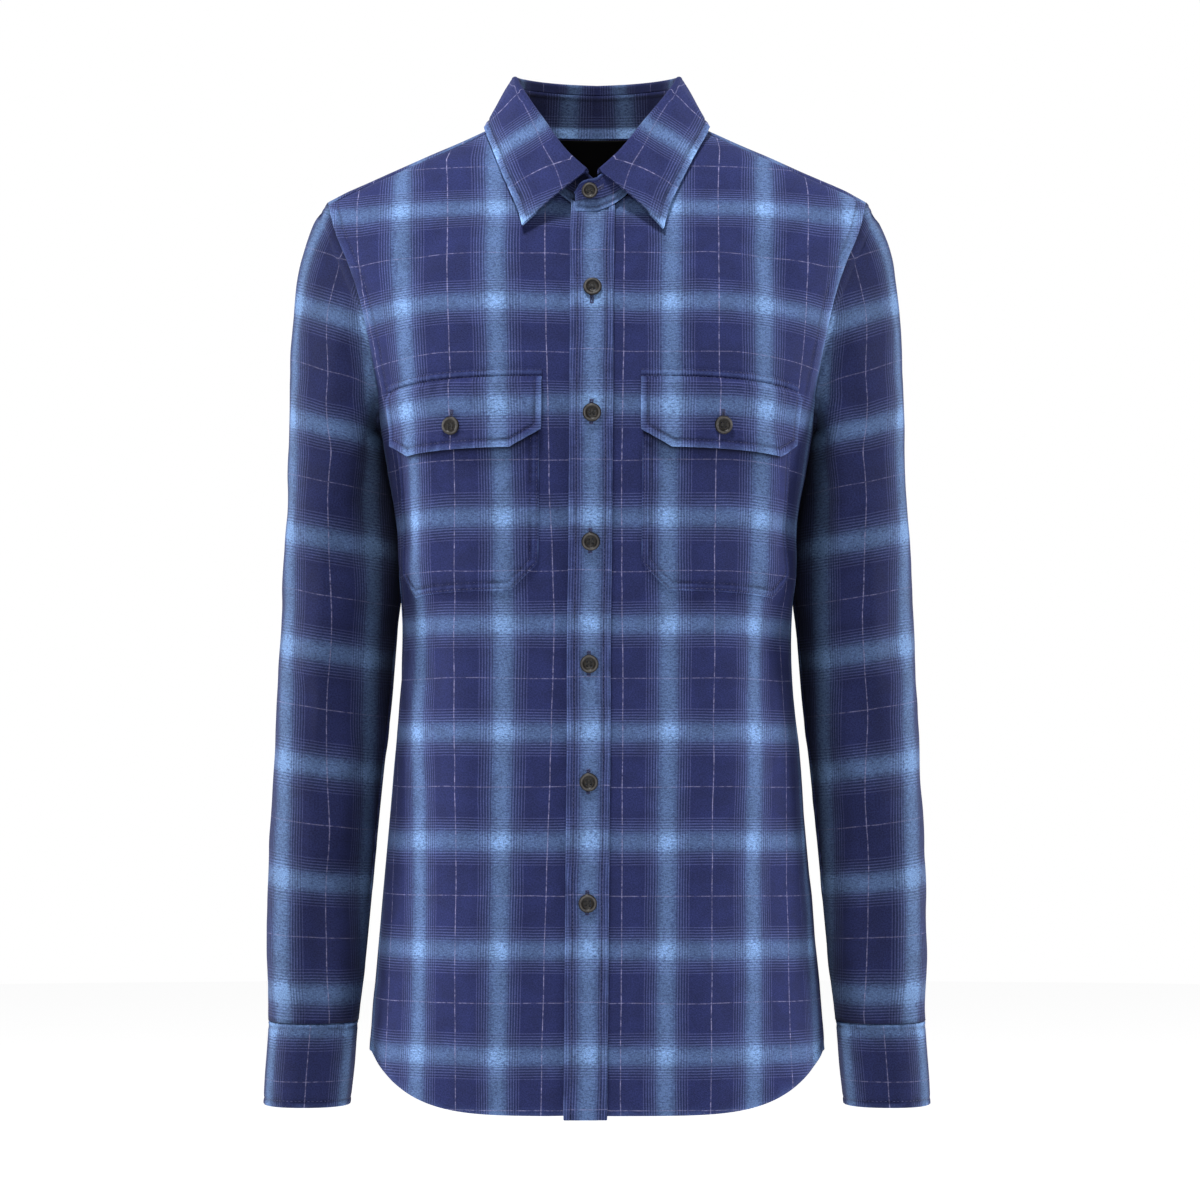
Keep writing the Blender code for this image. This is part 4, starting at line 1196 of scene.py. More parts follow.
def front_placket():
    foot = FRONT_HEM_HEIGHT - PLACKET_FOOT

    def place(u, v):
        across = (u - 0.5) * PLACKET_WIDTH
        x = button_line_x(mix(FRONT_HEM_HEIGHT, NECK_FRONT_HEIGHT, v)) + across
        z = mix(foot, front_neck_height(x) - SEAM_GAP, v)
        turn = turn_at("front", x, z)
        point, normal = form_seat("front", turn, z)
        near_edge = PLACKET_WIDTH / 2 - abs(across)
        lift = PLACKET_LIFT + DOUBLE_CLOTH
        lift += groove(near_edge - EDGE_STITCH, 0.5)
        lift += 0.35 * math.sin(math.pi * clamp(near_edge / 16.2))
        right_edge = across > 0
        run, seed = z + 9 * right_edge, 2.0 * right_edge
        lift += pucker(near_edge - 3.0, run, height=0.34, reach=5.0, pitch=8.5, seed=seed)
        lift += unevenness(point, 34.0, 0.7) + groove(z - foot - 6.0, 0.4)
        wander = 1.1 * noise.noise(Vector((z / 60.0, 3.0, 0.0)))
        # The strip bows a little to either side between its buttons.
        point.x += 0.5 * noise.noise(Vector((z / 85.0, 0.0, 8.0)))
        # Pale edges, partly worn cloth and partly painted highlight, with painted shade in the
        # stitch grooves.
        wear = pale_rim_and_stitch_shade(near_edge, EDGE_STITCH, z + across, edge=0.35, dip=-0.40)
        goods = (across - 1.2 + wander, read(FRONT_LEVELS, "along", z - 1.2))
        return point + normal * lift, normal, goods, wear

    lay_cloth("placket", (30, 360), place, DOUBLE_CLOTH, FLANNEL, bevel=0.7)


def level_turn(side, inset, z):
    """(turn, z) of a place inset along the cloth from the button line, where level lines droop."""
    reach = inset / (POCKET_INSET + POCKET_WIDTH)
    z -= POCKET_DROOP * reach**4
    middle = girth_at_x("front", button_line_x(z), z)
    wanted = middle + side * inset
    turn = halved(0.0, 1.0, lambda turn: girth("front", turn, z) < abs(wanted), 22)
    return math.copysign(turn, wanted), z


def clipped(u, corner_wide):
    return 1 - clamp(min(u, 1 - u) / corner_wide)


def corner_columns(u, cells, corner_cells, corner_wide):
    """Moves the grid lines so that corner_cells of them fill each clipped corner."""
    share = corner_cells / cells
    if u <= share:
        return u / share * corner_wide
    if u >= 1 - share:
        return 1 - (1 - u) / share * corner_wide
    return mix(corner_wide, 1 - corner_wide, (u - share) / (1 - 2 * share))


def outline_distance(outline, along, up):
    """How far a place lies inside the sides, foot and clipped corners of an outline."""
    width, _, corner_wide, corner_high = outline
    sides = min(along, width - along)
    slope = math.hypot(corner_wide, corner_high)
    cut = (sides * corner_high + up * corner_wide - corner_wide * corner_high) / slope
    return min(sides, up, cut)


def pocket_spot(side, along, up):
    """(point, outward, turn, z, and how much paler or darker it is made) of a pocket's outer face;
    along runs out from the placket.
    """
    turn, z = level_turn(side, POCKET_INSET + along, POCKET_FOOT + up)
    point, normal = form_seat("front", turn, z)
    near_edge = outline_distance(POCKET_OUTLINE, along, up)
    lift = mix(1.7, 3.0, ease(near_edge, 0.0, 1.6)) + 0.5 * ease(near_edge, 6.0, 30.0)
    edge_row, inner_row = POCKET_STITCHES
    lift += groove(near_edge - edge_row, 0.30, 0.9) + groove(near_edge - inner_row, 0.45)
    run = along if up < along else up
    lift += pucker(near_edge - 4.0, run, height=0.36, reach=5.0, pitch=8.0, seed=20.0 + side)
    lift += crease(point, FRONT_FOLDS) + unevenness(point, 30.0, 0.8)
    # Pale edges, partly worn cloth and partly painted highlight, with painted shade in both stitch
    # grooves.
    wear = pale_rim_and_stitch_shade(near_edge, inner_row, run, edge=0.42, dip=-0.58)
    wear -= 0.42 * bell(near_edge - edge_row, 0.9)
    # Painted shadow under the edge of the flap.
    under = outline_distance(FLAP_OUTLINE, along + FLAP_OVERHANG, POCKET_FOOT + up - FLAP_FOOT)
    wear -= 0.8 * bell(max(-under, 0.0), 2.6)
    return point + normal * lift, normal, turn, z, wear


def flap_spot(side, along, up):
    """(point, outward, turn, z, and how much paler or darker it is made) of a flap's outer face;
    along runs out from the placket.
    """
    turn, z = level_turn(side, POCKET_INSET - FLAP_OVERHANG + along, FLAP_FOOT + up)
    point, normal = form_seat("front", turn, z)
    near_edge = outline_distance(FLAP_OUTLINE, along, up)
    low = 1 - ease(up, 0.0, 26.0)
    lift = 5.2 + low * (2.6 + 1.1 * math.sin(along / 15.0 + side))
    lift -= 1.6 * bell(along - FLAP_WIDTH / 2, 10.0) * bell(up - 13.0, 9.0)
    lift += groove(near_edge - EDGE_STITCH, 0.5)
    lift += pucker(near_edge - 3.0, along, height=0.4, reach=5.0, seed=side)
    from_top = FLAP_HEIGHT - up
    lift -= 2.6 * (1 - ease(from_top, 0.0, 5.0))
    lift += pucker(from_top - 4.0, along, height=0.5, reach=5.0, pitch=10.0, seed=30.0 + side)
    lift += 0.95 * crease(point, FRONT_FOLDS) + unevenness(point, 26.0, 0.9)
    # Pale edges, partly worn cloth and partly painted highlight, with painted shade in the stitch
    # groove.
    wear = pale_rim_and_stitch_shade(near_edge, EDGE_STITCH, along + up, edge=0.60, dip=-0.52)
    return point + normal * lift, normal, turn, z, wear


def clipped_piece(name, side, spot, outline, cells, corner_cells, shift, wall, bevel):
    """A pocket or a flap, with the goods shifted a little against those of the front."""
    width, height, corner_wide, corner_high = outline
    corner = corner_wide / width

    def place(u, v):
        u = corner_columns(u, cells[0], corner_cells, corner)
        foot = corner_high * clipped(u, corner)
        point, normal, turn, z, wear = spot(side, u * width, mix(foot, height, v))
        across, level = front_cloth(turn, z)
        return point, normal, (across + shift[0] * side, level + shift[1]), wear

    lay_cloth(name, cells, place, wall, FLANNEL, bevel=bevel)


def flap_binding(side, name):
    """The narrow strip above the flap, where its top edge is turned and stitched down twice."""

    def place(u, v):
        along, up = u * FLAP_WIDTH, v * BINDING_HEIGHT
        inset = POCKET_INSET - FLAP_OVERHANG + along
        turn, z = level_turn(side, inset, FLAP_TOP - 1.0 + up)
        point, normal = form_seat("front", turn, z)
        lift = 1.5 + 0.6 * math.sin(math.pi * v)
        lift += sum(groove(up - row, 0.4, 0.8) for row in BINDING_STITCHES)
        lift += pucker(up - 3.0, along, height=0.35, pitch=7.0, seed=40.0 + side)
        lift += crease(point, FRONT_FOLDS) + unevenness(point, 42.0, 0.9)
        across, level = front_cloth(turn, z)
        # Painted shade along both rows of stitches, on a strip made a little paler all over.
        dark = [pale_rim_and_stitch_shade(up - row, 0.0, along, edge=0.0, dip=-0.4) for row in BINDING_STITCHES]
        wear = 0.15 + sum(dark)
        return point + normal * lift, normal, (across, level + 2.0), wear

    lay_cloth(name, (96, 10), place, 1.0, FLANNEL, bevel=0.3)


def pockets():
    for side, name in SIDES:
        for stem, spot, outline, cells, corner_cells, shift, wall, bevel in (
            ("pocket_", pocket_spot, POCKET_OUTLINE, (84, 96), 14, (0.8, -0.9), CLOTH_WALL, 0.25),
            ("flap_", flap_spot, FLAP_OUTLINE, (96, 44), 18, (-0.6, 1.2), DOUBLE_CLOTH, 0.7),
        ):
            clipped_piece(stem + name, side, spot, outline, cells, corner_cells, shift, wall, bevel)
        flap_binding(side, "flap_binding_" + name)


# ---------------------------------------------------------------- collar


def neck_base(around):
    """The neck seam on the wearer's left: around is 0 at the centre front and 1 at the centre
    back."""
    front_share = 0.55
    if around <= front_share:
        x = NECK_HALF_WIDTH * (around / front_share) ** 0.86
        z = front_neck_height(x)
        turn = turn_at("front", x, z)
        return form_point("front", turn, z)
    angle = (1 - around) / (1 - front_share) * math.pi / 2
    x, root = back_neck(angle)
    half, turn, z = over_shoulder(x, root)
    lead = 1 - ease(around, front_share, 0.66)
    point = form_point(half, turn, z)
    side_turn = turn_at("front", NECK_HALF_WIDTH, NECK_SIDE_HEIGHT)
    return point.lerp(form_point("front", side_turn, NECK_SIDE_HEIGHT), lead * lead)


def fold(around):
    return Vector(tuple(read(NECK, "fold_" + axis, around) for axis in "xyz"))


def leaf_edge(around):
    """The outer edge of the collar leaf, resting just off the body in front."""
    x = read(NECK, "edge_x", around)
    z = read(NECK, "edge_z", around)
    free = Vector((x, read(NECK, "edge_y", around), z))
    point, normal = form_seat("front", turn_at("front", x, z), z)
    lying = point + normal * read(NECK, "edge_lift", around)
    return lying.lerp(free, ease(around, 0.43, 0.55))


def neck_shift(point, side):
    """Mirrors a point of the wearer's left to either side, about the line that the neck's front
    is buttoned on."""
    front = ease(-point.y, 5.0, 70.0)
    return Vector((side * point.x + BUTTON_LINE_TOP_X * front, point.y, point.z))


def stand_path(u):
    """(around, side, past) for u along the stand, from the wearer's right end at 0 to the left
    end at 1. past is the length beyond the button line."""
    lap = 0.035
    along = mix(-1 - lap, 1 + lap, u)
    side = -1 if along < 0 else 1
    around = 1 - abs(along)
    if around < 0:
        return 0.0, side, -around / lap * STAND_LAP
    return around, side, 0.0


@functools.cache
def leaf_edge_lengths():
    """Length of the leaf's outer edge from its front tip to each hundredth of the way round."""
    shares = [max(step / 100, LEAF_CENTRE_GAP) for step in range(101)]
    return lengths_along([leaf_edge(share) for share in shares])


def leaf_goods(point, around):
    """(from the tip, from the edge) of a place on the outside of the leaf, along the cloth."""
    ahead, behind = min(around + 0.01, 1.0), max(around - 0.01, 0.0)
    tangent = (leaf_edge(ahead) - leaf_edge(behind)).normalized()
    walked = length_at(leaf_edge_lengths(), around * 100)
    away = point - leaf_edge(around)
    run = away.dot(tangent)
    return walked + run, (away - tangent * run).length


LEAF_TIP_SHIFT = -72.0
LEAF_EDGE_SHIFT = 2.7
LEAF_BACK_BAND = 21.5
LEAF_ROLL = 2.6
STAND_STRIP = 8.0
# The front edge of the leaf slants, so it is nearer than the length along the outer edge.
TIP_SLANT = 0.93


def leaf_across(walked, around):
    whole = leaf_edge_lengths()[-1] + LEAF_TIP_SHIFT
    wanted = WARP_REPEAT * round((whole - LEAF_BACK_BAND) / WARP_REPEAT) + LEAF_BACK_BAND
    return walked + LEAF_TIP_SHIFT + (wanted - whole) * ease(around, 0.35, 0.8)


def leaf_place(u, v):
    rise_share, roll_share = 0.16, 0.30
    along = mix(-1, 1, u) * (1 - LEAF_CENTRE_GAP)
    side = -1 if along < 0 else 1
    around = 1 - abs(along)
    # Inside the back of the neck the cloth is darkened as painted shade.
    wear = -0.5 * ease(around, 0.40, 0.75) * (1 - ease(v, rise_share, 0.24))
    start = fold(around)
    near = fold(min(around + 0.02, 1.0)) - start
    if around > 0.98:
        near = Vector((-1, 0, 0))
    outward = Vector((near.y, -near.x, 0)).normalized()
    edge = leaf_edge(around)
    tip_share = 1 - ease(around, LEAF_CENTRE_GAP, 0.20)
    start -= outward * 0.2
    rise = read(NECK, "rise", around) - STAND_SEAM_GAP - 0.7
    top = start + outward * 2 * LEAF_ROLL
    walked, from_edge = leaf_goods(top, around)
    half_roll = math.pi * LEAF_ROLL
    if v <= rise_share:
        share = v / rise_share
        point = start - Vector((0, 0, rise * (1 - share)))
        facing = outward
        from_edge += half_roll + rise * (1 - share)
    elif v <= roll_share:
        angle = (v - rise_share) / (roll_share - rise_share) * math.pi
        facing = outward * math.cos(angle) - Vector((0, 0, math.sin(angle)))
        point = start + outward * LEAF_ROLL - facing * LEAF_ROLL
        from_edge += half_roll * (1 - angle / math.pi)
    else:
        share = (v - roll_share) / (1 - roll_share)
        point = top.lerp(edge, share)
        bow = (1 + tip_share) * math.sin(share * math.pi)
        point += (outward * 0.9 + Vector((0, 0, 0.44))) * bow
        down = edge - top
        facing = -(outward - down * (outward.dot(down) / down.length_squared)).normalized()
        walked, from_edge = leaf_goods(point, around)
        front_edge = min(walked * TIP_SLANT + 0.02 * from_edge, 60.0)
        near_edge = min(from_edge, max(front_edge, 0.0))
        lift = groove(near_edge - LEAF_STITCH, 0.5) + 0.35 * ease(near_edge, LEAF_STITCH, 16.0)
        lift += pucker(from_edge - 3.0, walked, height=0.34, reach=5.0, seed=50.0 + side)
        lift += unevenness(point, 22.0, 0.8) * ease(share, 0.0, 0.2)
        lift -= 0.9 * bell(from_edge - 20.0, 14.0) * ease(walked, 10.0, 40.0)
        # The front edge turns up a little beside its stitching.
        lift += 0.5 * (1 - ease(front_edge, 0.0, 6.0))
        # Pale edges, partly worn cloth and partly painted highlight, with painted shade in the
        # stitch groove.
        wear = pale_rim_and_stitch_shade(near_edge, LEAF_STITCH, walked + from_edge, edge=0.40)
        point -= facing * lift
    across = leaf_across(walked, around)
    # The tip on the wearer's left hangs a little lower.
    point.z -= 2.6 * max(side, 0) * tip_share * clamp(1 - from_edge / 20)
    point = neck_shift(point, side)
    outside = -facing
    outside.x *= side
    return point, outside, (across, from_edge + LEAF_EDGE_SHIFT), wear


def stand_place(u, v):
    around, side, past = stand_path(u)
    base, top = neck_base(around), fold(around)
    top.z -= read(NECK, "rise", around)
    ahead_base, ahead_top = neck_base(around + 0.02), fold(min(around + 0.02, 1.0))
    if around > 0.98:
        ahead_base, ahead_top = base + Vector((-1, 0, 0)), top + Vector((-1, 0, 0))
    point = base.lerp(top, v)
    along = ahead_base.lerp(ahead_top, v) - point
    along.z = 0
    outward = Vector((along.y, -along.x, 0)).normalized()
    if past > 0:
        outward = Vector((0, -1, 0))
        round_share = past / STAND_LAP
        if side > 0:
            point.z -= (v**2) * 11.0 * (1 - math.sqrt(max(1 - round_share**2, 0.0)))
        point.x -= past
        point.y += 0.012 * past * past
    point.z += mix(0.2, STAND_SEAM_GAP, v)
    over = ease(u, 0.87, 0.94) * 1.25 if side > 0 else 0.0
    height = (top - base).length
    up = v * height
    lift = over * (DOUBLE_CLOTH + LAP_GAP)
    lift += groove(up - 2.6, 0.35, 0.9) + groove(height - up - 2.6, 0.3, 0.9)
    if side > 0:
        lift += 0.4 * math.sin(math.pi * clamp(up / height)) * ease(u, 0.88, 0.95)
    point += outward * lift
    lift += groove(up - STAND_STRIP, 0.5, 0.9)
    # A light strip runs along the foot of the stand, and dark cloth lies above its stitching.
    along = (up - 3.5) * 0.8 if up < STAND_STRIP else up + 1.5
    goods = (LEAF_BACK_BAND - (1 - around) * 215.0 + past, along)
    facing = Vector((outward.x * side, outward.y, 0))
    end = STAND_LAP - past if side > 0 and around < 0.01 else 99.0
    near = min(up, height - up, end)
    # Pale edges, partly worn cloth and partly painted highlight, with painted shade in the stitch
    # grooves and along the strip's stitching.
    wear = pale_rim_and_stitch_shade(near, 3.0, up + u * 400.0, edge=0.35, dip=-0.30)
    wear -= 0.45 * bell(up - STAND_STRIP, 0.9)
    # Painted shade under the lap of the other end.
    if side < 0:
        wear -= 0.75 * (1 - ease(around, 0.04, 0.22))
    # Painted shade on the stand inside the back of the neck, deepest above its strip.
    wear -= (0.12 + 0.46 * ease(up, STAND_STRIP, STAND_STRIP + 1.5)) * ease(around, 0.40, 0.75)
    return neck_shift(point, side), facing, goods, wear


def collar():
    lay_cloth("collar_leaf", (260, 84), leaf_place, DOUBLE_CLOTH, FLANNEL, bevel=0.7)
    lay_cloth("collar_stand", (240, 26), stand_place, DOUBLE_CLOTH, FLANNEL, bevel=0.6)


# ---------------------------------------------------------------- sleeves and cuffs


@functools.cache
def armhole_lengths(half):
    """Length of edge from the underarm to each of many even shares of armhole(half, share)."""
    shares = [step / ARMHOLE_STEPS for step in range(ARMHOLE_STEPS + 1)]
    return lengths_along([form_point(half, *armhole(half, share)) for share in shares])


def armhole_walk(half, length_share):
    """(turn, z) at a share of the length of one half of the armhole, from the underarm up."""
    lengths = armhole_lengths(half)
    wanted = length_share * lengths[-1]
    step = 0
    while step < ARMHOLE_STEPS - 1 and lengths[step + 1] < wanted:
        step += 1
    part = (wanted - lengths[step]) / (lengths[step + 1] - lengths[step])
    return armhole(half, (step + part) / ARMHOLE_STEPS)


def armhole_loop(u):
    """(point, normal, away) of the armhole on the wearer's left. u runs from the shoulder tip
    round the front, the underarm at 0.5 and the back, in closer steps where the edge bends most;
    away leads off the body's edge."""

    def at(u):
        u = u % 1.0
        u -= ARMHOLE_CROWDING * math.sin(4 * math.pi * u)
        half, share = ("front", 1 - 2 * u) if u <= 0.5 else ("back", 2 * u - 1)
        turn, z = armhole_walk(half, clamp(share))
        return form_seat(half, turn, z)

    point, normal = at(u)
    before, after = at(u - 0.01)[0], at(u + 0.01)[0]
    if u < 0.02 or u > 0.98:
        tip = shoulder_line(SHOULDER_TIP_X)
        normal = Vector((0.35, -0.15, 1.0)).normalized()
        point = Vector((SHOULDER_TIP_X, -2.0, tip - 0.4))
        before, after = at(0.96)[0], at(0.04)[0]
    away = normal.cross(after - before).normalized()
    return point, normal, away


TUCK_SHARE = 0.025
# The sleeve's grid, and how far apart the heights are at which its cloth is measured round.
SLEEVE_CELLS = (96, 190)
LEVEL_STEP = 12.0


def sleeve_reach(z):
    return read(SLEEVE, "centre_x", z) + read(SLEEVE, "half_width", z)


def sleeve_ring(u, z):
    angle = 2 * math.pi * u
    sine, cosine = math.sin(angle), math.cos(angle)
    radius = (abs(sine) ** SLEEVE_POWER + abs(cosine) ** SLEEVE_POWER) ** (-1 / SLEEVE_POWER)
    x = read(SLEEVE, "centre_x", z) + read(SLEEVE, "half_width", z) * radius * cosine
    y = read(SLEEVE, "centre_y", z) - read(SLEEVE, "half_depth", z) * radius * sine
    # The front of the sleeve turns away from the eye towards the body.
    inner = max(sleeve_reach(z) - 34.0 - x, 0.0)
    y += 0.50 * inner * clamp(sine * 3.0) * ease(z, CUFF_TOP, CUFF_TOP + 140.0)
    return Vector((x, y, z))


def body_side(point):
    """The sideways reach of the body at the depth of a point that lies beside it."""
    half = "front" if point.y < 0 else "back"
    power = FORM[half]["level_power"]
    depth = form_point(half, 0.001, min(point.z, FORM[half]["fullest"])).y
    share = clamp(abs(point.y / depth), 0.0, 0.98)
    return read(BODY, "half_width", point.z) * (1 - share**power) ** (1 / power)


def beside_body(point, u):
    """Draws the inner side of the sleeve against the body, from the armpit down to the waist."""
    inner = 1 - outer(u)
    if inner > 0.8 and WAIST_HEIGHT < point.z < ARMPIT_HEIGHT + 8:
        hold = swell(point.z, WAIST_HEIGHT, -318.0, ARMPIT_HEIGHT, ARMPIT_HEIGHT + 8)
        gap = max(point.x - body_side(point) + 1.2, 0.0)
        point.x -= gap * hold * ease(inner, 0.80, 0.985)
    return point


def clear_of_body(point):
    """Moves a point of the sleeve sideways until it hangs clear of the body below the armpit."""
    if point.z > ARMPIT_HEIGHT + 6:
        return point
    fade = ease(ARMPIT_HEIGHT + 6 - point.z, 0.0, 10.0)
    point.x = max(point.x, body_side(point) + SLEEVE_CLEARANCE * fade)
    return point


def sleeve_skin(u, v):
    """The sleeve's outer skin: v is 0 at the armhole and 1 at the cuff seam."""
    if v >= HEAD_SHARE:
        z = mix(FREE_HEIGHT, CUFF_TOP + SEAM_GAP, (v - HEAD_SHARE) / (1 - HEAD_SHARE))
        return beside_body(clear_of_body(sleeve_ring(u, z)), u)
    point, normal, away = armhole_loop(u)
    t = max(v / HEAD_SHARE - TUCK_SHARE, 0.0) / (1 - TUCK_SHARE)
    # The seam allowance: the sleeve starts under the edge of the body.
    tucked = 1 - min(v / HEAD_SHARE / TUCK_SHARE, 1.0)
    start = point + away * 0.6 - (normal * 0.6 + away * 4.0) * tucked - normal * 1.2
    if tucked > 0:
        return start
    end = sleeve_ring(u, FREE_HEIGHT)
    level = outer(u)
    heading = away * 0.6 + Vector((0.35, 0, -0.12 - 0.75 * level))
    reach = (end - start).length
    leave = heading.normalized() * reach * mix(0.75, 0.72, level)
    arrive = Vector((0.04, 0, -1)).normalized() * reach * 1.05
    t2, t3 = t * t, t * t * t
    skin = start * (2 * t3 - 3 * t2 + 1) + leave * (t3 - 2 * t2 + t)
    skin += end * (3 * t2 - 2 * t3) + arrive * (t3 - t2)
    return beside_body(clear_of_body(skin), u)


@functools.cache
def outer_edge():
    """The sleeve's outer edge from its foot to the shoulder, as a table of x by height."""
    rows = [(z, sleeve_reach(z)) for z in range(-740, -275, 20)]
    head = [sleeve_skin(0.0, HEAD_SHARE * (1 - share / 16)) for share in range(16)]
    rows += [(point.z, point.x) for point in head]
    return table_of("height x", *rows)


def at_height(column, z):
    """Where one lengthwise line of the sleeve passes a height, or its top end if that is lower."""
    low, high = 3, SLEEVE_CELLS[1]
    if skin_at(column, low).z <= z:
        return skin_at(column, low)
    while high - low > 1:
        middle = (low + high) // 2
        if skin_at(column, middle).z > z:
            low = middle
        else:
            high = middle
    upper, lower = skin_at(column, low), skin_at(column, high)
    return upper.lerp(lower, clamp((upper.z - z) / max(upper.z - lower.z, 0.01)))


def cloth_run(here, there):
    """Length of goods between two places; the deep sides of the tube are stretched a little."""
    run = there - here
    run.y *= mix(0.6, 1.0, ease(here.z, -190.0, -125.0))
    return run.length


@functools.cache
def level_lengths(step):
    """Length of cloth from the outer edge to each lengthwise line, at LEVEL_STEP times step."""
    columns = SLEEVE_CELLS[0]
    half = columns // 2
    cut = [at_height(column % columns, step * LEVEL_STEP) for column in range(columns + 1)]
    lengths = [0.0] * (columns + 1)
    for column in range(1, half + 1):
        lengths[column] = lengths[column - 1] + cloth_run(cut[column], cut[column - 1])
    for column in range(columns - 1, half, -1):
        lengths[column] = lengths[column + 1] - cloth_run(cut[column], cut[column + 1])
    return lengths


def sleeve_cloth(point, u):
    """(across, along) of the goods at a place of the left sleeve; u says which way round it is."""
    columns = SLEEVE_CELLS[0]
    place = clamp(u * columns, 0.0, columns - 0.001)
    index = int(place)
    if index == columns // 2:
        place = float(index)
    low = math.floor(point.z / LEVEL_STEP)
    found = []
    for step in (low, low + 1):
        lengths = level_lengths(step)
        found.append(mix(lengths[index], lengths[min(index + 1, columns)], place - index))
    across = mix(found[0], found[1], point.z / LEVEL_STEP - low)
    across -= read(SLEEVE_BAND, "shift", point.z)
    reach = read(outer_edge(), "x", point.z) - point.x
    slope = read(SLEEVE_SLOPE, "slope", point.z)
    return across, read(SLEEVE_LEVELS, "along", point.z + slope * reach)


# How far round from the outer edge the first light warp band of the sleeve lies.
SLEEVE_BAND = table_of(
    "height shift",
    (-740, 26.0), (-668, 26.5), (-600, 26.9), (-530, 26.8), (-471, 25.2), (-410, 23.6),
    (-342, 23.5), (-243, 22.5), (-213, 16.0), (-191, 12.0), (-122, 11.5), (-50, 11.0),
)


# Soft folds of the sleeves, seen from the front and mirrored for the right sleeve.
SLEEVE_FOLDS = (
    (176, -150, 190, -330, 14, -2.0),
    (214, -120, 206, -300, 16, 1.5),
    (196, -330, 214, -430, 14, -2.0),
    (222, -360, 200, -470, 12, 1.2),
    (184, -420, 206, -520, 13, -1.8),
    (216, -500, 204, -640, 12, 1.3),
    (190, -540, 198, -660, 10, -1.4),
    (226, -560, 222, -664, 9, -1.1),
)
RIGHT_SLEEVE_FOLDS = (
    (178, -140, 194, -300, 15, -1.8),
    (216, -130, 204, -290, 15, 1.4),
    (188, -320, 216, -410, 15, -2.1),
    (224, -400, 202, -500, 12, 1.3),
    (186, -450, 204, -560, 13, -1.9),
    (212, -560, 208, -660, 11, 1.4),
    (194, -580, 196, -664, 9, -1.2),
)


@functools.cache
def skin_at(column, row):
    return sleeve_skin(column / SLEEVE_CELLS[0], row / SLEEVE_CELLS[1])


def sleeve_place(u, v, sign):
    column, row = u * SLEEVE_CELLS[0], v * SLEEVE_CELLS[1]
    if abs(column - round(column)) < 0.001 and abs(row - round(row)) < 0.001:
        column, row = round(column), round(row)
    columns, rows = SLEEVE_CELLS
    column %= columns
    here = skin_at(column, row).copy()
    around = skin_at((column + 1) % columns, row) - skin_at((column - 1) % columns, row)
    down = skin_at(column, min(row + 1, rows)) - skin_at(column, max(row - 1, 0))
    normal = down.cross(around).normalized()
    if v < 0.06:
        normal = armhole_loop(u)[1].lerp(normal, ease(v, 0.0, 0.06)).normalized()
    from_cuff = here.z - CUFF_TOP
    from_head = v / HEAD_SHARE * 120.0
    lift = crease(here, SLEEVE_FOLDS if sign > 0 else RIGHT_SLEEVE_FOLDS)
    lift += unevenness(here + Vector((0, 0, 900.0 * sign)), 36.0, 1.3)
    lift += unevenness(here, 14.0, 0.25)
    lift += pucker(from_cuff, u * 320.0, height=0.9, reach=9.0, pitch=17.0, seed=60.0 + sign)
    calm = ease(from_cuff, 0.0, 7.0) * ease(from_head, 3.0, 14.0)
    lift *= calm
    # The head is eased into the armhole, so it swells a little beyond the seam.
    lift += 1.1 * bell(from_head - 9.0, 6.0) * outer(u)
    gathers = pucker(from_head - 2.0, u * 470.0, height=0.30, pitch=10.0, seed=70.0 + sign)
    lift += gathers * ease(from_head, 3.0, 8.0)
    # Beside the body the cloth can't swell out.
    inner = 1 - outer(u)
    if here.z < ARMPIT_HEIGHT:
        lift = mix(lift, min(lift, -0.2), inner**3)
    point = here + normal * lift
    mirrored(sign, point, normal)
    # Painted shade along the armhole seam and the cuff seam.
    wear = -0.4 * bell(from_head - 2.0, 2.5) - 0.35 * bell(from_cuff, 1.5)
    # Painted shade on the inner side of the sleeve, deepest between the sleeve and the body.
    beside = swell(here.z, -520.0, -330.0, ARMPIT_HEIGHT - 6, -170.0)
    wear -= (0.30 + 0.45 * beside) * ease(inner, 0.62, 0.95)
    return point, normal, sleeve_cloth(here, u), wear


CUFF_STEPS = 96
CUFF_BAND_SHIFT = 25.0
CUFF_BAND_HEIGHT = -671.0
CUFF_LENGTH = 280.0
CUFF_MIDDLE = -700.0
SLEEVE_GIRTH = 285.0
SLEEVE_PLACKET_PLACE = 0.765


@functools.cache
def cuff_lengths():
    """Length round the middle of the cuff from its outer edge, over the front first."""
    shares = [step / CUFF_STEPS for step in range(CUFF_STEPS + 1)]
    return lengths_along([sleeve_ring(share, CUFF_MIDDLE) for share in shares])


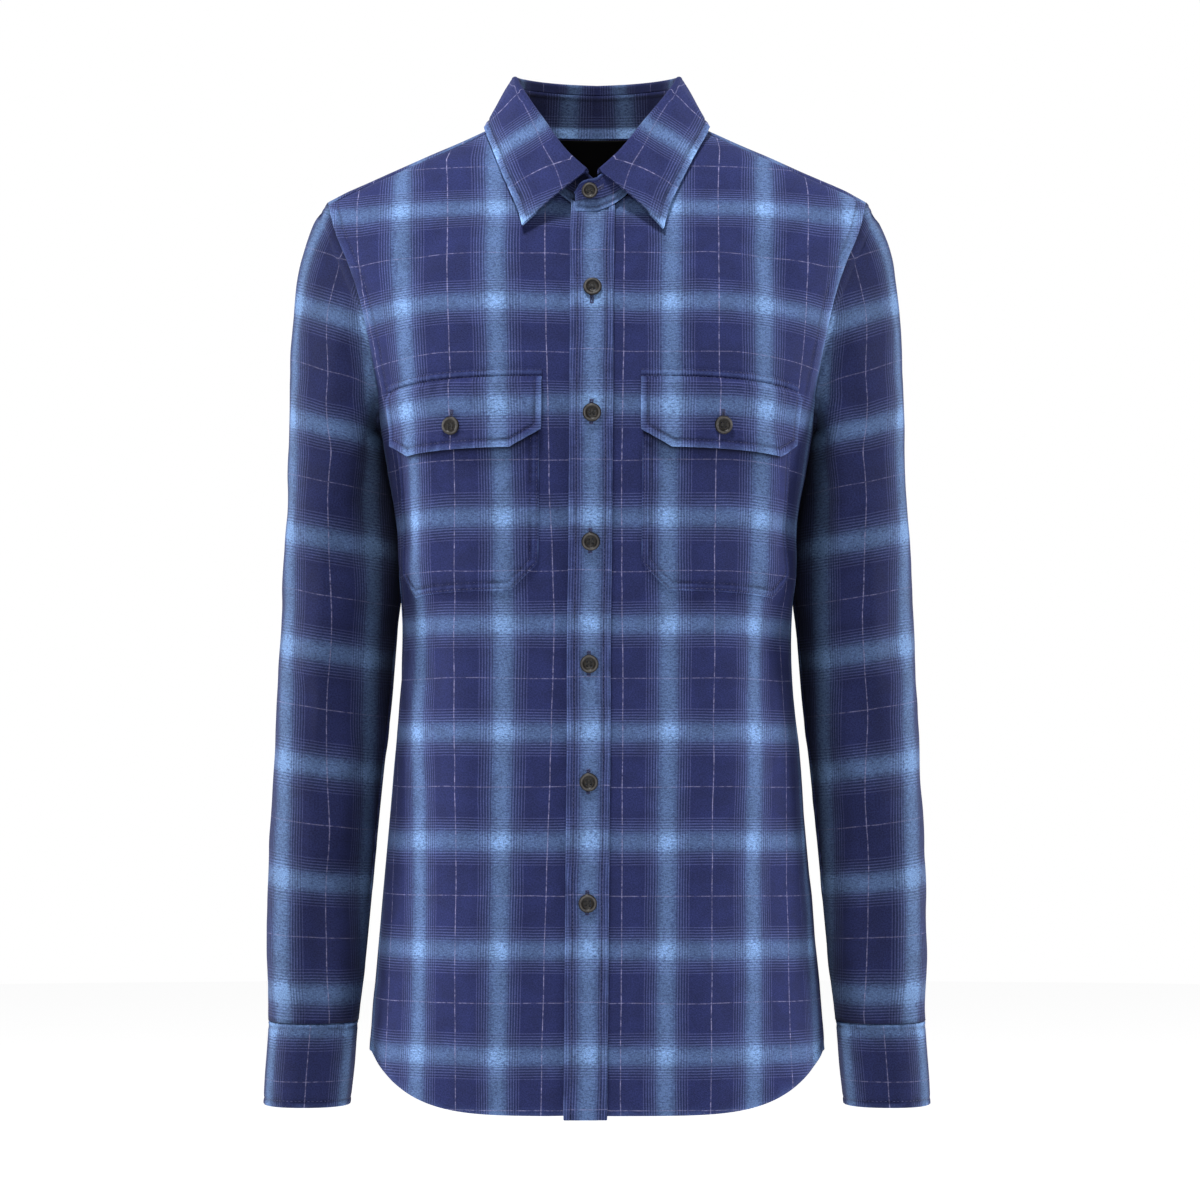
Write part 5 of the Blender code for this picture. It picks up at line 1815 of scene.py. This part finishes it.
def cuff_place(u, v, sign):
    """u goes once round and on over the lap, which lies behind the wrist."""
    start = 0.70
    along = (start + u * (1 + CUFF_LAP)) % 1.0
    z = mix(CUFF_FOOT, CUFF_TOP - SEAM_GAP, v)
    here = sleeve_ring(along, z)
    centre = Vector((read(SLEEVE, "centre_x", z), read(SLEEVE, "centre_y", z), z))
    outward = (here - centre).normalized()
    over = ease(u, 0.80, 0.90) * (DOUBLE_CLOTH + LAP_GAP)
    up, height = z - CUFF_FOOT, CUFF_TOP - CUFF_FOOT
    lift = 0.4 + over
    lift += groove(up - CUFF_FOOT_STITCH, 0.4) + groove(height - up - CUFF_TOP_STITCH, 0.4)
    lift += pucker(up - 2.0, u * CUFF_LENGTH, height=0.3, reach=5.0, seed=80.0 + sign)
    lift += pucker(height - up - 2.0, u * CUFF_LENGTH, height=0.3, seed=84.0 + sign)
    lift += 0.5 * math.sin(math.pi * v) + unevenness(here, 30.0, 0.5) * (1 - ease(u, 0.78, 0.84))
    point = here + outward * lift
    # The middle of the front carries the white line, and its edges the light bands.
    across = length_at(cuff_lengths(), along * CUFF_STEPS) - CUFF_BAND_SHIFT
    mirrored(sign, point, outward)
    # Pale edges at foot and top, partly worn cloth and partly painted highlight, with painted shade
    # in the stitch grooves.
    wear = pale_rim_and_stitch_shade(up, CUFF_FOOT_STITCH, u * CUFF_LENGTH, edge=0.30, dip=-0.35)
    wear += pale_rim_and_stitch_shade(height - up, CUFF_TOP_STITCH, u * CUFF_LENGTH, edge=0.40, dip=-0.35)
    return point, outward, (across, z - CUFF_BAND_HEIGHT), wear


def sleeve_placket_place(u, v, sign):
    """A strip up the back of the sleeve from the cuff, with a pointed top."""
    z = mix(CUFF_TOP + SEAM_GAP, CUFF_TOP + SLEEVE_PLACKET_LENGTH, v)
    z -= 12.0 * abs(2 * u - 1) * ease(v, 0.6, 1.0)
    share = (FREE_HEIGHT - z) / (FREE_HEIGHT - CUFF_TOP - SEAM_GAP)
    half_turn = SLEEVE_PLACKET_WIDTH / 2 / SLEEVE_GIRTH
    along = SLEEVE_PLACKET_PLACE + mix(-half_turn, half_turn, u)
    down = HEAD_SHARE + (1 - HEAD_SHARE) * share
    skin, normal, (across, level), _ = sleeve_place(along, down, sign)
    edge = SLEEVE_PLACKET_WIDTH * (0.5 - abs(u - 0.5))
    lift = CLOTH + 0.9 + 0.3 * ease(edge, 0.0, 4.0) + groove(edge - 2.0, 0.35, 0.9)
    # Pale edges, partly worn cloth and partly painted highlight, with painted shade in the stitch
    # grooves.
    wear = pale_rim_and_stitch_shade(edge, 2.0, z, edge=0.3, dip=-0.3)
    return skin + normal * lift, normal, (across + 3.0, level + 2.0), wear


def sleeves():
    for sign, side in SIDES:
        for stem, cells, place, wall, finish in (
            ("sleeve_", SLEEVE_CELLS, sleeve_place, CLOTH_WALL, {"tube": True}),
            ("cuff_", (200, 40), cuff_place, DOUBLE_CLOTH, {"bevel": 0.7}),
            ("sleeve_placket_", (20, 90), sleeve_placket_place, 1.2, {"bevel": 0.4}),
        ):
            laid = functools.partial(place, sign=sign)
            lay_cloth(stem + side, cells, laid, wall, SHADED_SLEEVE_FLANNEL, **finish)


# ---------------------------------------------------------------- buttons, buttonholes and stitches

# Outline of a button of unit radius, from the middle of its back to the middle of its face, as
# (radius, height); heights are shares of its thickness.
BUTTON_PROFILE = (
    (0.0, 0.0), (0.70, 0.0), (0.86, 0.10), (0.95, 0.28), (1.0, 0.52), (0.98, 0.72), (0.93, 0.88),
    (0.86, 0.97), (0.79, 1.0), (0.72, 0.96), (0.66, 0.84), (0.60, 0.70), (0.52, 0.63), (0.0, 0.60),
)
BUTTON_HEIGHT = 2.5
BUTTON_SHANK = 0.7
BUTTON_HOLE_RADIUS = 0.80
BUTTON_HOLE_PLACE = 1.50
STITCH_PITCH = 3.2
CUFF_BUTTON_SHARE = 0.955


def button_template(diameter):
    """A four-hole button facing +Z with its back at 0, in millimetres."""
    bm = bmesh.new()
    profile = [bm.verts.new((r * diameter / 2, 0, h * BUTTON_HEIGHT)) for r, h in BUTTON_PROFILE]
    edges = [bm.edges.new(pair) for pair in zip(profile, profile[1:])]
    bmesh.ops.spin(
        bm,
        geom=profile + edges,
        cent=(0, 0, 0),
        axis=(0, 0, 1),
        angle=math.tau,
        steps=40,
        use_merge=True,
    )
    bmesh.ops.remove_doubles(bm, verts=bm.verts, dist=0.001)
    bmesh.ops.recalc_face_normals(bm, faces=bm.faces)
    holes = bmesh.new()
    for across in (-1, 1):
        for up in (-1, 1):
            place = Matrix.Translation((across * BUTTON_HOLE_PLACE, up * BUTTON_HOLE_PLACE, 1.0))
            bmesh.ops.create_cone(
                holes,
                cap_ends=True,
                segments=14,
                radius1=BUTTON_HOLE_RADIUS,
                radius2=BUTTON_HOLE_RADIUS,
                depth=6.0,
                matrix=place,
            )
    blank, drill = put_in_scene("button_blank", bm), put_in_scene("button_drill", holes)
    cut = blank.modifiers.new("holes", "BOOLEAN")
    cut.operation = "DIFFERENCE"
    cut.object = drill
    drilled = blank.evaluated_get(bpy.context.evaluated_depsgraph_get())
    mesh = bpy.data.meshes.new_from_object(drilled)
    bpy.data.objects.remove(blank)
    bpy.data.objects.remove(drill)
    return mesh


def standing_on(point, normal, up):
    """The turn and place that put local Z along the normal and local Y as near to up as can be."""
    z = normal.normalized()
    x = Vector(up).cross(z).normalized()
    y = z.cross(x)
    turn = Matrix((x, y, z)).transposed().to_4x4()
    return Matrix.Translation(point) @ turn


def button(name, diameter, point, normal):
    """A button stood off its cloth on a shank of thread, in place of its solid."""
    seat = standing_on(point, normal, (0, 0, 1))
    bm = bmesh.new()
    bm.from_mesh(button_template(diameter))
    rim = bm.verts.layers.float.new("rim")
    for vert in bm.verts:
        radius = math.hypot(vert.co.x, vert.co.y) / (diameter / 2)
        pale = swell(radius, 0.66, 0.76, 0.84, 0.93)
        pale += 0.50 * (1 - ease(radius, 0.46, 0.56))
        vert[rim] = pale * (vert.co.z > 1.2)
    stood_off = seat @ Matrix.Translation((0, 0, BUTTON_SHANK))
    bmesh.ops.transform(bm, matrix=stood_off, verts=bm.verts)
    bm.normal_update()
    piece = keep(bm, name.replace("button", "horn_button"), HORN, (name,))
    for polygon in piece.data.polygons:
        polygon.use_smooth = abs(polygon.normal.dot(normal)) > 0.12
    thread = bmesh.new()
    for across in (-1, 1):
        above = BUTTON_SHANK + BUTTON_HEIGHT * BUTTON_PROFILE[-1][1] + 0.15
        bar = seat @ Matrix.Translation((across * BUTTON_HOLE_PLACE, 0, above))
        bar @= Matrix.Diagonal((0.55, BUTTON_HOLE_PLACE + 0.7, 0.42, 1))
        bmesh.ops.create_icosphere(thread, subdivisions=2, radius=1.0, matrix=bar)
    shank = seat @ Matrix.Translation((0, 0, 1.0)) @ Matrix.Diagonal((2.2, 2.2, 1.6, 1))
    bmesh.ops.create_icosphere(thread, subdivisions=2, radius=1.0, matrix=shank)
    keep(thread, name.replace("button", "button_thread"), SHANK_THREAD)


def lozenge(bm, point, normal, along, length, width, height):
    """One stitch: a small grain lying on the cloth."""
    lie = standing_on(point, normal, along)
    shape = Matrix.Diagonal((width / 2, length / 2, height, 1))
    bmesh.ops.create_icosphere(bm, subdivisions=1, radius=1.0, matrix=lie @ shape)


def stitch_row(bm, path, pitch=STITCH_PITCH, length=2.3, width=0.55):
    """Stitches along a path, which is a list of (point, normal) no further apart than a stitch."""
    walked, due = 0.0, pitch / 2
    for (start, normal), (end, _) in zip(path, path[1:]):
        run = end - start
        while run.length > 0 and walked + run.length >= due:
            point = start.lerp(end, (due - walked) / run.length)
            lozenge(bm, point + normal * 0.05, normal, run, length, width, 0.22)
            due += pitch
        walked += run.length


def buttonhole(bm, slit, spot, length=17.0, wide=1.5):
    """Satin stitches round a slit. spot(across, along) gives (point, normal) round its middle."""

    def satin(across, along, sideways):
        point, normal = spot(across, along)
        ahead = spot(across + 0.2, along)[0] - spot(across - 0.2, along)[0]
        if sideways:
            ahead = spot(across, along + 0.2)[0] - spot(across, along - 0.2)[0]
        return point + normal * 0.1, normal, ahead

    count = int(length / 0.5)
    for step in range(count + 1):
        along = -length / 2 + step * length / count
        for side in (-0.9, 0.9):
            point, normal, ahead = satin(side, along, False)
            lozenge(bm, point, normal, ahead, wide, 0.62, 0.30)
    for end in (-1, 1):
        for step in range(6):
            point, normal, ahead = satin(-1.25 + step * 0.5, end * (length / 2 + 0.2), True)
            lozenge(bm, point, normal, ahead, 1.9, 0.6, 0.34)
    # A dark strip along the middle of the slit stands for painted shade in its opening.
    for step in range(9):
        along = (step - 4) * (length - 3.0) / 9
        point, normal, ahead = satin(0.0, along, True)
        lozenge(slit, point, normal, ahead, 3.2, 0.5, 0.16)


def stitch_along(bm, piece, steps, at):
    """A row of stitches on a piece; at(share) gives the u and v of the row."""
    stitch_row(bm, [PLACES[piece](*at(step / steps))[:2] for step in range(steps + 1)])


def placket_spot(x, z):
    """(point, normal) of the placket x beyond the button line."""
    foot = FRONT_HEM_HEIGHT - PLACKET_FOOT
    top = front_neck_height(button_line_x(z) + x) - SEAM_GAP
    return PLACES["placket"](0.5 + x / PLACKET_WIDTH, clamp((z - foot) / (top - foot)))[:2]


def inset_corners(width, height, wide, high, inset):
    """The corners of a line inset from a rectangle with clipped lower corners, as (along, up)."""
    slope = math.hypot(wide, high)
    level = ((inset * slope + wide * high - inset * wide) / high, inset)
    upright = (inset, (inset * slope + wide * high - inset * high) / wide)
    left = [(inset, height), upright, level]
    return left + [(width - along, up) for along, up in reversed(left)]


def outline_path(spot, corners):
    path = []
    for (x1, y1), (x2, y2) in zip(corners, corners[1:]):
        steps = max(int(math.hypot(x2 - x1, y2 - y1) / 1.2), 1)
        path += [spot(mix(x1, x2, n / steps), mix(y1, y2, n / steps))[:2] for n in range(steps)]
    return path


def pocket_stitches(bm, side):
    name = "left" if side > 0 else "right"
    flap_at = functools.partial(flap_spot, side)
    corners = inset_corners(
        FLAP_WIDTH, FLAP_HEIGHT - 3, FLAP_CORNER_WIDE, FLAP_CORNER_HIGH, EDGE_STITCH
    )
    stitch_row(bm, outline_path(flap_at, corners))
    pocket_at = functools.partial(pocket_spot, side)
    for inset in POCKET_STITCHES:
        height = FLAP_FOOT - POCKET_FOOT + 8
        corners = inset_corners(POCKET_WIDTH, height, POCKET_CORNER, POCKET_CORNER, inset)
        stitch_row(bm, outline_path(pocket_at, corners))
    for row in BINDING_STITCHES:
        v = row / BINDING_HEIGHT
        stitch_along(bm, "flap_binding_" + name, 120, lambda share, v=v: (share, v))


def body_stitches(bm):
    for sign, name in SIDES:
        stitch_along(bm, "front_" + name, 160, lambda share: (0.10 + 0.89 * share, 0.0077))
        rows = []
        for step in range(140):
            z = mix(-203.0, -50.0, step / 139)
            x = read(ARMHOLE, "front_x", z) - ARMHOLE_STITCH
            turn = turn_at("front", x, z)
            point, normal = form_seat("front", turn, z)
            mirrored(sign, point, normal)
            rows.append((point + normal * front_relief(point, sign), normal))
        stitch_row(bm, rows)
    for edge in (-1, 1):
        x = edge * (PLACKET_WIDTH / 2 - EDGE_STITCH)
        stitch_row(bm, [placket_spot(x, mix(-730, -62, step / 560)) for step in range(561)])
    stitch_along(bm, "back", 340, lambda share: (0.01 + 0.98 * share, 0.0090))
    stitch_along(bm, "yoke", 320, lambda share: (0.02 + 0.96 * share, 0.035))


def collar_stitches(bm):
    leaf = PLACES["collar_leaf"]

    def inset_v(u, inset):
        around = 1 - abs(2 * u - 1) * (1 - LEAF_CENTRE_GAP)
        reach = (fold(around) - leaf_edge(around)).length
        return 1 - 0.70 * inset / max(reach, 20.0)

    def edge_row(share):
        return mix(0.012, 0.988, share), inset_v(share, LEAF_STITCH)

    stitch_along(bm, "collar_leaf", 420, edge_row)
    for side in (-1, 1):
        path = []
        for step in range(50):
            v = mix(0.34, 0.93, step / 49)

            def leaf_at(u, v=v, side=side):
                return leaf(u if side < 0 else 1 - u, v)

            def short_of_row(u, leaf_at=leaf_at):
                return (leaf_at(u)[2][0] - LEAF_TIP_SHIFT) * TIP_SLANT < LEAF_STITCH

            path.append(leaf_at(halved(0.0, 0.09, short_of_row, 12))[:2])
        stitch_row(bm, path)
    for v in (0.13, 0.86):
        stitch_along(bm, "collar_stand", 60, lambda share, v=v: (mix(0.86, 0.985, share), v))


def sleeve_stitches(bm):
    height = CUFF_TOP - SEAM_GAP - CUFF_FOOT
    for _, name in SIDES:
        for up in (CUFF_FOOT_STITCH, height - CUFF_TOP_STITCH):
            stitch_along(bm, "cuff_" + name, 240, lambda share, up=up: (share, up / height))
        placket = "sleeve_placket_" + name
        for u in (0.10, 0.90):
            stitch_along(bm, placket, 90, lambda share, u=u: (u, 0.02 + 0.9 * share))


# Where the line of the front buttons crosses the collar stand, in u and v, how long a whole u
# would be before that line and beyond it, and the height of the stand there.
STAND_BUTTON = (0.9831, 0.63)
STAND_LENGTHS = (449.0, 787.0)
STAND_HEIGHT = 22.5


def fastenings():
    """All the buttons with their buttonholes, each round the middle of its own solid."""
    holes, slits = bmesh.new(), bmesh.new()
    for number, height in enumerate(FRONT_BUTTON_HEIGHTS, 1):
        middle = height + (-2.8 if number == 1 else 0.5)
        buttonhole(holes, slits, lambda s, t, middle=middle: placket_spot(s, middle + t))
        button("button_front_%d" % number, BUTTON_DIAMETER, *placket_spot(0.4, height))
    for side, name in SIDES:
        def flap_at(s, t, side=side):
            up = FLAP_BUTTON_HEIGHT - FLAP_FOOT + 4.8 + t
            return flap_spot(side, FLAP_WIDTH / 2 - 3.0 * side + s, up)[:2]

        buttonhole(holes, slits, flap_at)
        button("button_flap_" + name, BUTTON_DIAMETER, *flap_at(0.0, -2.5))
        cuff = PLACES["cuff_" + name]

        def cuff_at(s, t, cuff=cuff):
            return cuff(CUFF_BUTTON_SHARE + t / 250.0, 0.5 + s / (CUFF_TOP - CUFF_FOOT))[:2]

        buttonhole(holes, slits, cuff_at, 15.0)
        button("button_cuff_" + name, CUFF_BUTTON_DIAMETER, *cuff_at(0.0, 0.0))
    stand = PLACES["collar_stand"]

    def tab_at(s, t):
        """t runs along the stand from the button line towards the end of the tab."""
        along = t / STAND_LENGTHS[t > 0]
        return stand(STAND_BUTTON[0] + along, STAND_BUTTON[1] + s / STAND_HEIGHT)[:2]

    buttonhole(holes, slits, lambda s, t: tab_at(s, t + 0.6), 14.0)
    button("button_collar", COLLAR_BUTTON_DIAMETER, *tab_at(0.0, 2.4))
    keep(holes, "buttonholes", NAVY_THREAD)
    # The dark strips in the slits are painted shade.
    keep(slits, "buttonhole_slits", SLIT_SHADE)


def stitches():
    for name, sew in (
        ("body_stitches", body_stitches),
        ("collar_stitches", collar_stitches),
        ("sleeve_stitches", sleeve_stitches),
        ("left_pocket_stitches", lambda bm: pocket_stitches(bm, 1)),
        ("right_pocket_stitches", lambda bm: pocket_stitches(bm, -1)),
    ):
        bm = bmesh.new()
        sew(bm)
        keep(bm, name, NAVY_THREAD)


# ---------------------------------------------------------------- floor, light and camera

CAMERA_X = 2.3
CAMERA_Z = -349.6
CAMERA_DISTANCE = 4000.0
VIEW_HEIGHT = 912.0
FLOOR_HEIGHT = -1180.0


def pale_floor():
    bm = bmesh.new()
    bmesh.ops.create_circle(bm, cap_ends=True, cap_tris=False, segments=96, radius=7.5)
    bmesh.ops.translate(bm, vec=(0, 0, FLOOR_HEIGHT * MM), verts=bm.verts)
    floor = put_in_scene("floor", bm)
    material, w, shader = new_finish("pale_floor", 0.9, specular=0.1)
    seen = w.node("ShaderNodeLightPath").outputs["Is Camera Ray"]
    shader.inputs["Base Color"].default_value = (0.90, 0.90, 0.905, 1)
    shader.inputs["Emission Color"].default_value = (1.0, 1.0, 1.0, 1)
    w.join(w.plus(0.30, w.times(seen, 0.55)), shader.inputs["Emission Strength"])
    floor.data.materials.append(material)


def soft_light(name, place, target, size, power):
    data = bpy.data.lights.new(name, "AREA")
    data.shape = "RECTANGLE"
    data.size, data.size_y = size
    data.energy = power
    lamp = put_in_scene(name, data)
    lamp.location = place
    lamp.rotation_euler = (Vector(target) - Vector(place)).to_track_quat("-Z", "Y").to_euler()


def white_surroundings():
    """A white backdrop to the eye, and a weaker even light on the cloth."""
    world = bpy.data.worlds.new("white")
    world.use_nodes = True
    bpy.context.scene.world = world
    w = Wiring(world.node_tree)
    background = world.node_tree.nodes["Background"]
    seen = w.node("ShaderNodeLightPath").outputs["Is Camera Ray"]
    w.join((1.0, 1.0, 1.0, 1.0), background.inputs["Color"])
    w.join(w.plus(0.10, w.times(seen, 0.90)), background.inputs["Strength"])


def camera():
    data = bpy.data.cameras.new("camera")
    data.sensor_fit = "VERTICAL"
    data.angle = 2 * math.atan(VIEW_HEIGHT / 2 / CAMERA_DISTANCE)
    data.clip_end = 60.0
    eye = put_in_scene("camera", data)
    eye.location = (CAMERA_X * MM, -CAMERA_DISTANCE * MM, CAMERA_Z * MM)
    eye.rotation_euler = (math.pi / 2, 0, 0)
    bpy.context.scene.camera = eye


def studio():
    pale_floor()
    white_surroundings()
    soft_light("front", (0.0, -3.4, 0.5), (0, 0, -0.36), (1.6, 1.2), 24)
    soft_light("top", (-0.4, -1.0, 2.2), (0, 0.0, -0.3), (0.6, 0.45), 86)
    soft_light("back_left", (2.2, 2.6, 1.4), (0, 0, -0.30), (1.6, 1.6), 34)
    soft_light("back_right", (-2.2, 2.6, 1.4), (0, 0, -0.30), (1.6, 1.6), 34)
    soft_light("side_left", (2.2, 0.28, -0.1), (0, 0, -0.36), (0.5, 1.6), 50)
    soft_light("side_right", (-2.2, 0.28, -0.1), (0, 0, -0.36), (0.5, 1.6), 50)
    camera()
    bpy.context.scene.view_settings.view_transform = "Standard"


# ---------------------------------------------------------------- the shirt


def main():
    fronts()
    back_panel()
    yokes()
    front_placket()
    pockets()
    collar()
    sleeves()
    stitches()
    fastenings()
    studio()


main()
